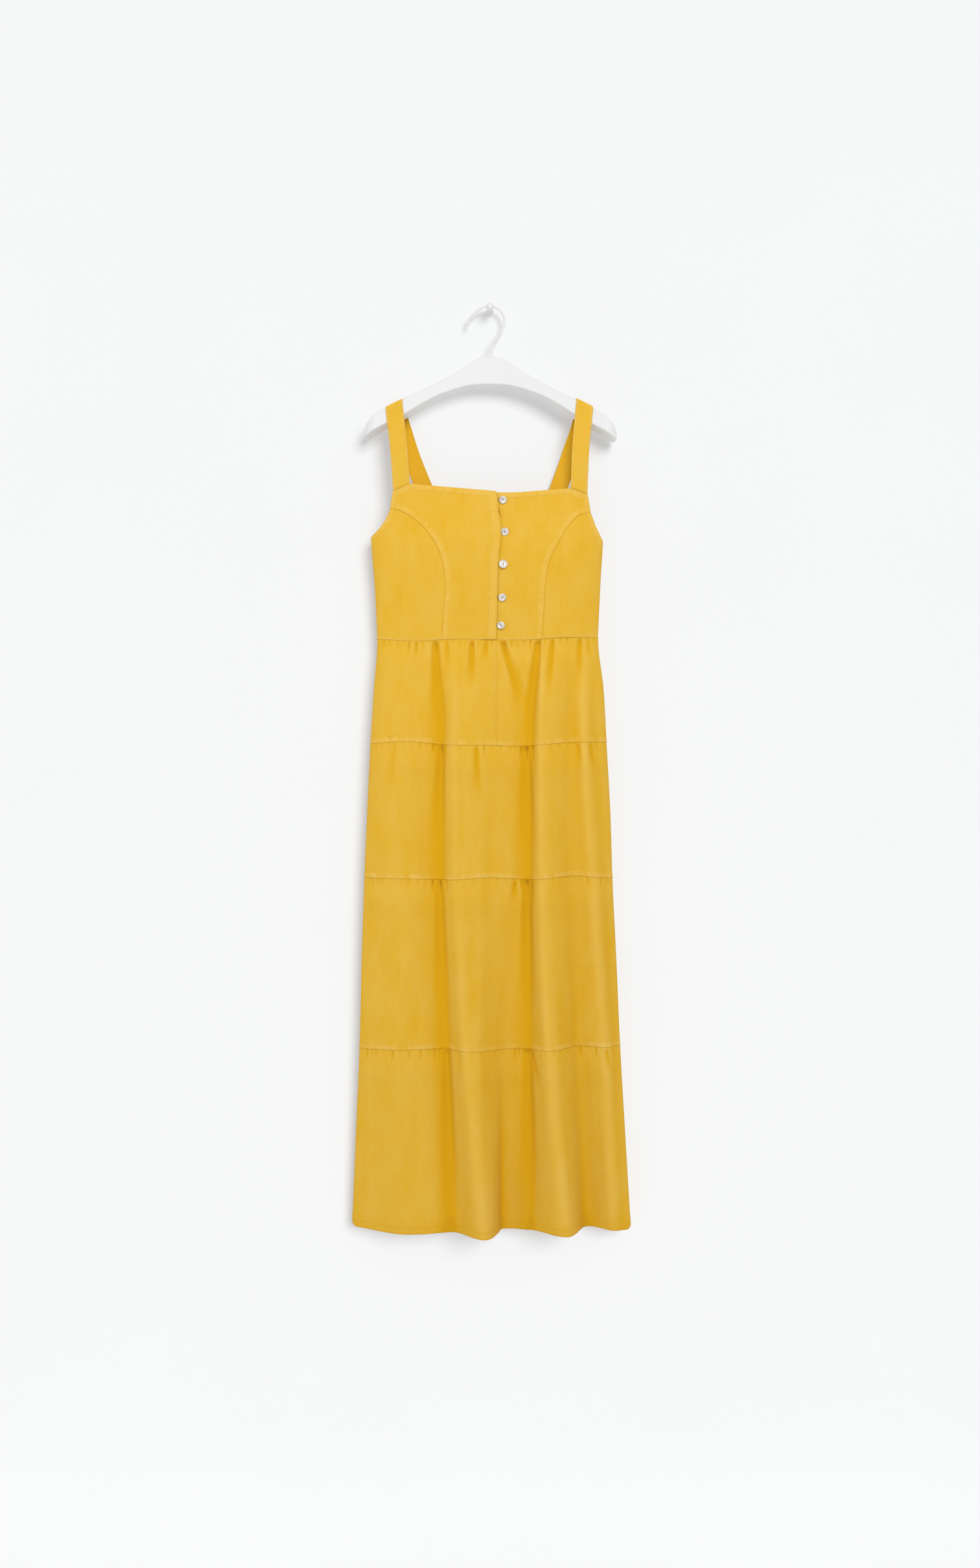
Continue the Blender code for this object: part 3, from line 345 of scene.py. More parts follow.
def ridge_relief(face, x, drop):
    """Rise of the long ridges, and the hollow at the foot of the sharp ones."""
    out = np.zeros_like(x)
    hollow = np.zeros_like(x)
    for number, ridge in enumerate(ridges_of[face]):
        middle, rise, left_reach, right_reach = np.moveaxis(ridge(drop), -1, 0)
        on_left = x < middle
        aside = (x - middle) / np.where(on_left, left_reach, right_reach)
        form = hump(aside)
        if face == "front" and number in SHARP_RIDGES:
            from_foot = np.clip(1 - np.abs(aside), 0, 1)
            steep = (1 - (1 - from_foot) ** 2) * ease(from_foot / np.where(on_left, 0.4, 0.17))
            low = 0.75 * ease((drop - BOTH_SHARP_DROP) / BOTH_SHARP_LENGTH) * (number == BOTH_SHARP)
            form = np.where(on_left, 0.86 * form + 0.14 * steep, (1 - low) * form + low * steep)
            from_line = x - (middle - left_reach)
            fold = hump(from_line / np.where(from_line < 0, *FOLD_REACHES)) ** 1.5 * ease(rise / 12)
            out -= FOLD_DEPTH * fold
            hollow += FOLD_HOLLOW * fold
        out += rise * form
    return out, hollow


def crease_relief(row, x, below):
    """Depth, open hollow and shut top of one crease, at distances below its seam."""
    start, lean, half_width, depth, length = row
    slow_side, steep_side, onset = LONG_SHAPE if length > LONG_CREASE else SHORT_SHAPE
    run = np.clip(below / length, 0, 1)
    aside = (x - start - lean * run) * np.sign(half_width)
    opened = np.maximum(abs(half_width) * (0.6 + 0.9 * run), NARROWEST)
    groove = hump(aside / (opened * np.where(aside < 0, slow_side, steep_side)))
    fade = ease((below + 1) / onset) * ease((length - below) / (0.75 * length))
    groove = np.where(below < length, groove * fade, 0)
    top = ease(1 - below / min(0.5 * length, 30)) * (below > 0)
    shut = min(depth / 2.4, 1.0) * top * hump(aside / 1.5)
    return depth * (1 + 0.25 * ease(1 - below / 20)) * groove, min(depth / 2.2, 0.9) * groove, shut


def relief(face, x, drop):
    """How far the cloth stands out from the plain section, and how deep in a crease it is.

    The second value runs from 0 to 1 for an open crease, and above 1 where the cloth is pressed shut.
    """
    out, hollow = ridge_relief(face, x, drop)
    shut = np.zeros_like(x)
    share = share_of(x, drop)
    for seam, rows in creases_of[face].items():
        below = drop - seam_drop[seam, face](share)
        if not ((below > -2) & (below < 320)).any():
            continue
        out += np.where(below > 0, PUFF_RISE * hump((2 * below - PUFF_REACH) / PUFF_REACH), 0)
        for row in rows:
            groove, open_part, shut_part = crease_relief(row, x, below)
            out -= groove
            hollow += open_part
            shut = np.maximum(shut, shut_part)
        ticks = TICK_DEPTH * tick(x) * ease(1 - below / TICK_LENGTH) * ease(below / 2)
        out += np.where(below > 0, ticks, 0)
    below_waist = ease((drop - WAIST_DROP + 2) / 20)
    out += below_waist * (0.6 * waviness(x, drop) + 0.75 * long_folds(x, drop) + 0.16 * crumple(x, drop))
    return out * (drop > WAIST_DROP - 8), np.clip(hollow, 0, 1) + SHUT_SHADE * shut


# %% The surface of the dress
def dress_point(angle, drop):
    """Points on the outside of the dress. The angle is 0 at the middle of the front, pi at the back."""
    left, right, left_depth, right_depth, front, back = np.moveaxis(section_at(drop), -1, 0)
    share = np.sin(angle)
    x = (left + right) / 2 + (right - left) / 2 * share
    seam_depth = left_depth + (right_depth - left_depth) * (share + 1) / 2
    swell = np.sqrt(np.maximum(1 - np.abs(share) ** SECTION_POWER, 0.0))
    near_side = ease(swell / 0.5)
    if np.mean(np.cos(angle)) >= 0:
        y = seam_depth - front * swell - near_side * relief("front", x, drop)[0]
    else:
        y = seam_depth + back * swell + near_side * relief("back", x, drop)[0]
    return np.stack((x, y, -drop), axis=-1)


def angle_at(x, drop, face):
    angle = np.arcsin(share_of(x, drop))
    return angle if face == "front" else math.pi - angle


def outward(points, face, row=None):
    """Directions across a grid of points, turned to leave the face in the given row or the middle one."""
    normals = np.cross(np.gradient(points, axis=1), np.gradient(points, axis=0))
    normals /= np.maximum(np.linalg.norm(normals, axis=-1, keepdims=True), 1e-9)
    row = points.shape[1] // 2 if row is None else row
    towards_back = normals[len(points) // 2, row, 1] > 0
    return -normals if towards_back == (face == "front") else normals


middle_front = dress_point(np.array([0.0]), np.array([1000.0]))[0]
print("front of the skirt at the middle of tier three:", np.round(middle_front, 1))

# %% [markdown]
# ## Materials
#
# Linen is spun from long, uneven fibres, so both thread directions show slubs: short thick stretches
# that catch the light. The dress was dyed after sewing, which leaves the raised seams a little
# lighter. So the cloth takes its pattern from its own UV map, in metres of cloth, and two values painted
# on each point: one for its paler seams together with painted highlights on puckers and fold ridges,
# and one for painted shade in its hollows, under its seams and on slopes turned from the light.


# %% Shader maths
class Socket:
    """A shader output that can be used in sums."""

    def __init__(self, finish, link):
        self.finish = finish
        self.link = link

    def maths(self, operation, first, second):
        return self.finish.node("Math", {"operation": operation}, {0: first, 1: second})

    def __add__(self, other):
        return self.maths("ADD", self, other)

    def __sub__(self, other):
        return self.maths("SUBTRACT", self, other)

    def __rsub__(self, other):
        return self.maths("SUBTRACT", other, self)

    def __mul__(self, other):
        return self.maths("MULTIPLY", self, other)

    __radd__ = __add__
    __rmul__ = __mul__


class Finish:
    """A material whose nodes are made from Python expressions."""

    def __init__(self, name, **constants):
        self.material = bpy.data.materials.new(name)
        self.material.use_nodes = True
        self.tree = self.material.node_tree
        self.shader = self.tree.nodes["Principled BSDF"]
        for socket, value in constants.items():
            self.shader.inputs[socket.replace("_", " ")].default_value = value

    def node(self, kind, settings=None, values=None, output=0):
        made = self.tree.nodes.new("ShaderNode" + kind)
        for setting, value in (settings or {}).items():
            if setting == "stops":
                for stop, (position, colour) in zip(made.color_ramp.elements, value):
                    stop.position, stop.color = position, colour
            else:
                setattr(made, setting, value)
        for socket, value in (values or {}).items():
            self.put(made.inputs[socket], value)
        return Socket(self, made.outputs[output])

    def put(self, socket, value):
        if isinstance(value, Socket):
            self.tree.links.new(value.link, socket)
        else:
            socket.default_value = value

    def set(self, **values):
        for socket, value in values.items():
            self.put(self.shader.inputs[socket.replace("_", " ")], value)

    def mix(self, share, first, second):
        """A blend of two colours."""
        return self.node("Mix", {"data_type": "RGBA"}, {0: share, 6: first, 7: second}, output=2)

    def noise(self, where, scale, detail=2.0, rough=0.5):
        """Noise of the given number of cells per metre along each direction."""
        place = self.node("Mapping", {}, {"Vector": where, "Scale": scale})
        values = {"Vector": place, "Scale": 1.0, "Detail": detail, "Roughness": rough}
        return self.node("TexNoise", {}, values)

    def bump(self, height, strength, distance):
        return self.node("Bump", {}, {"Height": height, "Strength": strength, "Distance": distance})


# %% Linen
LINEN = (0.645, 0.386, 0.042, 1)
LINEN_DEEP = (0.63, 0.354, 0.016, 1)
# The pale tone also carries painted highlights; the hollow and shut tones are painted shade.
LINEN_PALE_AND_HIGHLIGHT = (0.70, 0.452, 0.10, 1)
LINEN_HOLLOW_SHADE = (0.60, 0.312, 0.001, 1)
LINEN_SHUT_SHADE = (0.34, 0.155, 0.001, 1)
THREAD_PITCH = 0.00062


def linen(name):
    """Plain weave with slubs, washed tone, paler seams with painted highlights, and painted shade in creases.
    """
    finish = Finish(name, Roughness=0.85, Sheen_Weight=0.06, Sheen_Roughness=0.5,
                    Sheen_Tint=(1.0, 0.86, 0.55, 1), Specular_IOR_Level=0.18)
    cloth = finish.node("UVMap", {"uv_map": "cloth"})
    warp = finish.noise(cloth, (1500, 110, 1)) - 0.5
    weft = finish.noise(cloth, (110, 1500, 1)) - 0.5
    warp_slub = finish.noise(cloth, (300, 26, 1), 3) - 0.5
    weft_slub = finish.noise(cloth, (26, 300, 1), 3) - 0.5
    wash = finish.noise(cloth, (30, 13, 1), 4, 0.6) - 0.5
    tone = 0.6 + wash * 2.4 + warp_slub * 0.9 + weft_slub * 0.4 + warp * 0.35 + weft * 0.25
    colour = finish.mix(tone, LINEN_DEEP, LINEN)
    # Paler seams from the dye, with painted highlights on raised puckers and on fold ridges.
    pale_and_highlight = finish.node("Attribute", {"attribute_name": "pale_and_highlight"}, output=2)
    colour = finish.mix(pale_and_highlight, colour, LINEN_PALE_AND_HIGHLIGHT)
    painted_shade = finish.node("Attribute", {"attribute_name": "painted_shade"}, output=2)
    # Painted shade: 0.75 paints a full hollow. From there to 1 it paints the deeper shade of cloth pressed
    # shut.
    colour = finish.mix(painted_shade * 1.33, colour, LINEN_HOLLOW_SHADE)
    colour = finish.mix(painted_shade * 4.0 - 3.0, colour, LINEN_SHUT_SHADE)
    rows = 2 * math.pi / (20 * THREAD_PITCH)
    threads = finish.node("TexWave", {"bands_direction": "X"}, {"Vector": cloth, "Scale": rows})
    picks = finish.node("TexWave", {"bands_direction": "Y"}, {"Vector": cloth, "Scale": rows})
    height = threads * picks * 0.4 + warp * 0.5 + weft * 0.35 + warp_slub * 0.8 + weft_slub * 0.4
    finish.set(Base_Color=colour, Roughness=0.85 - 0.2 * warp_slub,
               Normal=finish.bump(height, 0.15, 0.00025))
    return finish.material


linen_cloth = linen("linen_cloth")
print("material:", linen_cloth.name)

# %% [markdown]
# ## Cloth pieces
#
# A cloth piece starts as a flat grid, as cloth does. The grid is bent onto the form, gets a UV map in
# metres along its own threads, and two painted values: one where a seam is paler, which also carries
# painted highlights, and one for painted shade. A Solidify modifier then gives it a cloth's thickness,
# inwards.

# %% Make a sheet of cloth
CLOTH_THICKNESS = 0.8
pieces = {}
surfaces = {}


def add(name, data):
    """An object in the scene, at the origin."""
    made = bpy.data.objects.new(name, data)
    bpy.context.scene.collection.objects.link(made)
    return made


def declare(piece, node=None):
    """Hangs a piece on the root body and hides the node it stands for, if there is one."""
    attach(piece, "root")
    if node is not None:
        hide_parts(node)


def blurred(grid, reach):
    """A grid smoothed across its columns, over the given number of points to each side."""
    padded = np.pad(grid, ((reach, reach), (0, 0)), mode="edge")
    sums = np.cumsum(np.concatenate([np.zeros((1, grid.shape[1])), padded]), axis=0)
    return (sums[2 * reach + 1:] - sums[:-2 * reach - 1]) / (2 * reach + 1)


def sheet_of_cloth(node, points, normals, pale_and_highlight, painted_shade, grain=None, thickness=CLOTH_THICKNESS):
    """A cloth piece from a grid of points, in millimetres, with its outward directions.

    The grain is the place of each point across and down its own cloth, if the grid doesn't follow it.
    """
    name = "cloth_" + node
    across, down = points.shape[:2]
    centre = across // 2, down // 2
    bm = bmesh.new()
    bmesh.ops.create_grid(bm, x_segments=across - 1, y_segments=down - 1, size=0.5)
    if sum(face.normal.z for face in bm.faces) < 0:
        bmesh.ops.reverse_faces(bm, faces=bm.faces)
    right = np.gradient(points, axis=0)[centre]
    up = -np.gradient(points, axis=1)[centre]
    if np.cross(right, up) @ normals[centre] < 0:
        bmesh.ops.reverse_faces(bm, faces=bm.faces)
    places = np.array([vert.co[:2] for vert in bm.verts])
    i = np.rint((places[:, 0] + 0.5) * (across - 1)).astype(int)
    j = np.rint((0.5 - places[:, 1]) * (down - 1)).astype(int)
    mesh = bpy.data.meshes.new(name)
    bm.to_mesh(mesh)
    bm.free()
    mesh.vertices.foreach_set("co", (points[i, j] * MM).ravel())
    steps = np.linalg.norm(np.diff(points, axis=0), axis=-1)
    depth = run_along(points[across // 2]) - points[across // 2, 0, 2]
    if grain is None:
        run = np.concatenate([np.zeros((1, down)), np.cumsum(steps, axis=0)]) + points[:1, :, 0]
        cloth = np.stack((run[i, j], -depth[j]), axis=-1)
    else:
        cloth = grain[i, j] * (1, -1)
    corners = np.zeros(len(mesh.loops), int)
    mesh.loops.foreach_get("vertex_index", corners)
    mesh.uv_layers.new(name="cloth").data.foreach_set("uv", (cloth[corners] * MM).ravel())
    # One painted value for paler seams with painted highlights, one for painted shade.
    for label, values in (("pale_and_highlight", pale_and_highlight), ("painted_shade", painted_shade)):
        painted = mesh.attributes.new(label, "FLOAT", "POINT").data
        painted.foreach_set("value", np.clip(values, 0, 1)[i, j].ravel())
    mesh.shade_smooth()
    mesh.update()
    mesh.materials.append(linen_cloth)
    piece = add(name, mesh)
    wall = piece.modifiers.new("cloth thickness", "SOLIDIFY")
    wall.thickness = thickness * MM
    wall.offset = -1.0
    declare(piece, node)
    surfaces[name] = BVHTree.FromPolygons(
        [vert.co.copy() for vert in mesh.vertices], [tuple(face.vertices) for face in mesh.polygons])
    pieces[name] = piece


def even_steps(length, step):
    return np.linspace(0, 1, max(2, round(length / step) + 1))


def rows_down(length, fine, coarse, top, bottom):
    """Steps down a panel: fine ones near both ends, coarse ones between."""
    stops = [0.0]
    while stops[-1] < length - 0.5 * fine:
        near = stops[-1] < top or stops[-1] > length - bottom
        stops.append(stops[-1] + (fine if near else coarse))
    return np.array(stops) / stops[-1]


# %% [markdown]
# ## The skirt
#
# Four tiers, each from one seam to the next. The upper piece's edge is folded in, pressed up and
# sewn through, so a narrow, puckered band lies above each seam, slightly paler from the dye and with
# painted highlights on its puckers, and a line of painted shade lies just under it. The lower piece
# is tucked a little way under that edge. The hem is a wider band, turned up and stitched, with painted
# shade along its folded edge and darker towards the hem.

# %% Skirt tiers
BAND = 7.0
BAND_RISE = 0.38
CENTRE_BAND_RISE = 0.15
HEM_BAND = 12.0
HEM_CORNER = 9.0
TUCK = 1.6
TUCK_DEPTH = 0.26
EDGE_PRESS = 0.26
UNDER_DEPTH = 0.22
SHADE_REACH = 9
# Caps on the painted shade of the hollows and of the hem.
MOST_HOLLOW_SHADE = 0.74
MOST_HEM_SHADE = 0.8
FRONT_STEP = 1.5
CREASED_STEP = 1.15
BACK_STEP = 2.7
FORM_STEPS = 2001
pucker = ripple(31, 2.9)
slow = ripple(32, 17)


def band(distance, width, along, rise=BAND_RISE):
    """Rise and paleness of a sewn-down band, at a distance from its folded edge, with painted highlights on
    its puckers.
    """
    inside = ease((width + 0.9 - distance) / 1.4) * (distance > -0.5)
    stitched = hump((distance - width + 1.3) / 1.5)
    near_edges = np.maximum(hump((distance - width + 1) / 5), hump(distance / 5))
    ticks = pucker(along + 0.15 * distance) * near_edges
    lifts = rise * inside + 0.3 * inside * ticks * ease((distance + 1) / 3) - 0.22 * stitched
    lifts -= 0.15 * hump((distance - width - 2.2) / 3) * (0.6 + 0.5 * ticks)
    # Paler from the dye, and paler still on its raised puckers as painted highlight.
    pale_and_highlight = inside * np.clip(0.4 + 0.14 * slow(along) + 0.45 * ticks, 0, 1)
    return lifts, pale_and_highlight


def skirt_shade_and_highlight(face, x, drop, below, above, fine, hem):
    """Painted shade from creases, hollows, slopes turned from the light and under seams, and painted
    highlight on ridges.
    """
    form, hollow = relief(face, x, drop)
    reach = round(SHADE_REACH / fine)
    cavity = blurred(blurred(form, reach), reach) - form
    slope = blurred(np.gradient(form, axis=0) / np.gradient(x, axis=0), round(5 / fine))
    turned = np.clip(-0.4 * slope, 0, 0.26) if face == "front" else 0.0
    # Painted shade: in creases and hollows, on slopes turned from the light, and in a line under each seam.
    painted_shade = 0.7 * np.minimum(hollow, 1) + 0.22 * cavity + turned + 0.25 * hump((below - 0.6) / 2.2)
    painted_shade = np.clip(painted_shade, 0, MOST_HOLLOW_SHADE)
    painted_shade += 0.65 * np.maximum(hollow - 1, 0) + 0.2 * np.maximum(hollow - 0.9, 0)
    if hem:
        # Painted shade along the hem's folded edge and the top of its band, and darker towards the hem.
        edge = 0.25 * hump(above / 3) + 0.3 * hump((above - HEM_BAND + 1.3) / 1.6)
        painted_shade = np.minimum(painted_shade + 0.3 * ease(1 - above / 30) + edge, MOST_HEM_SHADE)
    # Painted highlight on ridges that stand above their surroundings.
    return painted_shade, np.clip(-0.16 * cavity - 0.05, 0, 0.6)


def skirt_piece(node, upper, lower, face, low=-1.0, high=1.0, fine=FRONT_STEP, centre_band=None, under=None):
    """One tier of the skirt on one face, between two seams."""
    hem = lower == "hem"
    middle_drop = float(seam_drop[upper, face](0) + seam_drop[lower, face](0)) / 2
    turns = np.linspace(math.asin(low), math.asin(high), FORM_STEPS)
    form = dress_point(turns if face == "front" else math.pi - turns, np.full(FORM_STEPS, middle_drop))
    lengths = run_along(form)
    columns = round(lengths[-1] / fine) + 1
    share = np.sin(np.interp(np.linspace(0, lengths[-1], columns), lengths, turns))
    length = float(seam_drop[lower, face](0) - seam_drop[upper, face](0))
    rows = rows_down(length, fine * 0.9, fine * 3.4, 46, 18)
    shares, down = np.meshgrid(share, rows, indexing="ij")
    seam = seam_drop[upper, face](shares)
    bottom_drop = seam_drop[lower, face](shares)
    if hem:
        into_corner = np.clip(1 - (1 - np.abs(shares)) * sides(middle_drop)[1] / HEM_CORNER, 0, 1)
        bottom_drop = bottom_drop - HEM_CORNER * (1 - np.sqrt(1 - into_corner ** 2))
    drop = seam - TUCK + (bottom_drop - seam + TUCK) * down
    angle = np.arcsin(shares) if face == "front" else math.pi - np.arcsin(shares)
    base = dress_point(angle, drop)
    normals = outward(base, face)
    x = base[..., 0]
    below = drop - seam
    above = bottom_drop - drop
    rise, pale_and_highlight = band(above, HEM_BAND if hem else BAND, x + 7 * middle_drop)
    lift = rise - TUCK_DEPTH * (1 - ease((below + 0.6) / 2.2))
    if hem:
        pale_and_highlight = pale_and_highlight * 0.25
    else:
        lift -= EDGE_PRESS * hump(above / 1.4)
    if centre_band is not None:
        rise, seam_pale_and_highlight = band(np.abs(x - centre_band), BAND, drop, CENTRE_BAND_RISE)
        lift += rise
        pale_and_highlight = np.maximum(pale_and_highlight, 0.3 * seam_pale_and_highlight)
    if under is not None:
        lift -= UNDER_DEPTH * (1 - ease((x - under + 0.4) / 2.0))
    # Painted shade, and painted highlight on the ridges.
    painted_shade, ridge_highlight = skirt_shade_and_highlight(face, x, drop, below, above, fine, hem)
    sheet_of_cloth(node, base + normals * lift[..., None], normals, np.maximum(pale_and_highlight, ridge_highlight), painted_shade)


CENTRE_SEAM_X = 10.0
CENTRE_UNDERLAP = 1.5
waist_middle, waist_half = (float(value) for value in sides(WAIST_DROP))
centre_share = (CENTRE_SEAM_X - waist_middle) / waist_half
skirt_piece("skirt_tier_1_front_left", "waist", "first", "front", high=centre_share, fine=CREASED_STEP,
            centre_band=CENTRE_SEAM_X)
skirt_piece("skirt_tier_1_front_right", "waist", "first", "front",
            low=centre_share - CENTRE_UNDERLAP / waist_half, fine=CREASED_STEP, under=CENTRE_SEAM_X)
tiers = [(f"skirt_tier_{number}_", *seams) for number, seams in enumerate(zip(SEAMS, [*SEAMS][1:]), start=1)]
for tier, upper, lower in tiers[1:]:
    skirt_piece(tier + "front", upper, lower, "front")
for tier, upper, lower in tiers:
    skirt_piece(tier + "back", upper, lower, "back", fine=BACK_STEP)

# %% [markdown]
# ## The bodice
#
# The front is cut in four: two centre fronts that meet at the buttons, and two side fronts joined by
# curved seams that shape it. Each pattern piece is the surface between four edge curves. Along the
# neckline, the armholes and the curved seams the cloth is doubled and sewn, which reads as a paler
# band with fine puckers, with painted highlights on the puckers. Where a side front goes under its
# neighbour, and along the right front's opening edge, the cloth gets painted shade.

# %% Pattern lines
STRAP_JOINTS = {"left": ((-157.5, 306), (-130, 295)), "right": ((158.5, 311), (131, 302))}
NECKLINE = ((-130, 295), (-92, 298.8), (-17, 305.6), (15, 308.8), (40, 308.8), (90, 305.3), (131, 302))
ARMHOLES = {
    "left": ((-157.5, 306), (-160.5, 322), (-162, 335), (-165, 343), (-175.6, 361.4), (-184.7, 371.2),
             (-194.4, 379)),
    "right": ((158.5, 311), (161, 324), (163.5, 340.4), (167.2, 351), (171, 362), (176, 373), (183, 386)),
}
ARMHOLE_NOTCH = 2
PRINCESS_SEAMS = {
    "left": ((-162, 335), (-148, 337.5), (-127, 349.3), (-106, 368), (-79, 413), (-72, 461), (-75, 500),
             (-77.5, 548)),
    "right": ((163.5, 340.4), (145, 345), (130, 359.7), (113, 387), (98, 415), (89, 461), (86.4, 506),
              (84, 547)),
}
OPENING_EDGE = ((10, 308.2), (12.9, 324), (12.9, 334), (14.0, 344), (16.4, 354), (17.4, 384), (14.5, 411),
                (12.6, 450), (11.5, 489), (10, 548))
BACK_NECK_HALF = 121.0
BACK_NECK_DROP = 316.0
BACK_NECK_SAG = 3.0
# Columns: share of the way out from the neck to the underarm, share of the way down
BACK_ARMHOLE_STEPS = ((0.36, 0.2), (0.72, 0.66))
LAP_WIDTH = 14.0
LAP_SLOPE = 14.0
LAP_RISE = 1.8
ROUTE_STEPS = 160
opening_x = smooth([drop for x, drop in OPENING_EDGE], [x for x, drop in OPENING_EDGE])


def patch(top, bottom, left, right):
    """A surface between four paths that meet at their ends."""

    def at(u, v):
        u1, v1 = u[..., None], v[..., None]
        across = (1 - v1) * top(u) + v1 * bottom(u)
        along = (1 - u1) * left(v) + u1 * right(v)
        top_part = (1 - v1) * ((1 - u1) * top(0.0) + u1 * top(1.0))
        return across + along - top_part - v1 * ((1 - u1) * bottom(0.0) + u1 * bottom(1.0))

    return at


def side_path(sign, top_drop, bottom_drop):
    def at(t):
        drop = top_drop + (bottom_drop - top_drop) * np.asarray(t, float)
        middle, half = sides(drop)
        return np.stack((middle + sign * half, drop), axis=-1)

    return at


def waist_path(x_start, x_end, face):
    def at(u):
        x = x_start + (x_end - x_start) * np.asarray(u, float)
        return np.stack((x, seam_drop["waist", face](share_of(x, WAIST_DROP))), axis=-1)

    return at


def away(route, x, drop):
    """Distance of places from a path, and how far along it each is, in millimetres."""
    line = route(np.linspace(0, 1, ROUTE_STEPS))
    best = np.full(x.shape, np.inf)
    along = np.zeros(x.shape)
    for start, end, so_far in zip(line[:-1], line[1:], run_along(line)):
        step = end - start
        share = np.clip(((x - start[0]) * step[0] + (drop - start[1]) * step[1]) / (step @ step), 0, 1)
        distance = np.hypot(x - start[0] - share * step[0], drop - start[1] - share * step[1])
        closer = distance < best
        best = np.where(closer, distance, best)
        along = np.where(closer, so_far + share * math.sqrt(step @ step), along)
    return best, along


# %% Bodice pieces
UNDERLAP = 1.8
TUCKED_DEPTH = 0.42
BAND_SHIFT = 130
MIDDLE_OF_BODICE = 430.0
SECTION_STEPS = 601
# Columns: drop, reach up and down, lift
GAPES = ((344, 15, 2.4), (402, 14, 0.8), (506, 14, 0.9))
SLIT_DROP = 342
drape = cloud(41, 60, 90)
soft_crumple = cloud(42, 16, 22)
section_turns = np.linspace(-math.pi / 2, math.pi / 2, SECTION_STEPS)
section_run = run_along(dress_point(section_turns, np.full(SECTION_STEPS, MIDDLE_OF_BODICE)))


def bodice_piece(node, surface, face, columns, rows, bands, rests_on, tucks=(), lift_of=None, shade_of=None):
    """A bodice panel. Bands run along edge paths; along the tucked ones it goes under its neighbour."""
    u, v = np.meshgrid(columns, rows, indexing="ij")
    flat = surface(u, v)
    if tucks:
        beyond = flat[-1] - flat[-2]
        beyond *= UNDERLAP / np.maximum(np.linalg.norm(beyond, axis=-1, keepdims=True), 1e-9)
        flat = np.concatenate([flat, flat[-1:] + beyond])
    x, drop = np.moveaxis(flat, -1, 0)
    base = dress_point(angle_at(x, drop, face), drop)
    normals = outward(base, face)
    lift = 0.55 * drape(x, drop) + 0.14 * soft_crumple(x, drop)
    pale_and_highlight = np.zeros_like(x)
    for turn, (route, width, rise) in enumerate(bands):
        distance, along = away(route, x, drop)
        raised, paler = band(distance, width, along + BAND_SHIFT * turn, rise)
        lift += raised
        pale_and_highlight = np.maximum(pale_and_highlight, 0.7 * paler)
    painted_shade = np.zeros_like(x)
    for route in tucks:
        distance, along = away(route, x, drop)
        distance[-1] = 0.0
        lift -= TUCKED_DEPTH * (1 - ease(distance / 2.4)) + 0.2 * hump(distance / 5) * pucker(along)
        # Painted shade along the seam line where this piece goes under its neighbour.
        painted_shade = np.maximum(painted_shade, 0.55 * hump(distance / 2.6))
    if lift_of is not None:
        lift += lift_of(x, drop)
    if shade_of is not None:
        painted_shade = np.maximum(painted_shade, shade_of(x, drop))
    across = np.interp(np.arcsin(share_of(x, drop)), section_turns, section_run)
    sheet_of_cloth(node, base + normals * lift[..., None], normals, pale_and_highlight, painted_shade,
                   grain=np.stack((across, drop), axis=-1))


def lap_lift(x, drop):
    """The left front lifts over the right one where it laps, and gapes a little between buttons."""
    beside_edge = x - opening_x(drop)
    near_edge = ease((beside_edge + LAP_WIDTH + LAP_SLOPE + 2) / LAP_SLOPE)
    gape = sum(lift * hump((drop - place) / reach) for place, reach, lift in GAPES)
    return LAP_RISE * near_edge + gape * ease((beside_edge + 9) / 9)


def lap_shade(x, drop):
    """The right front is darker along the opening edge, most where it gapes."""
    beneath = x - opening_x(drop)
    slit = 1.5 * hump((drop - SLIT_DROP) / 15) * hump((beneath - 0.8) / 2.4)
    return np.maximum(0.4 * hump(beneath / 3.4), slit)


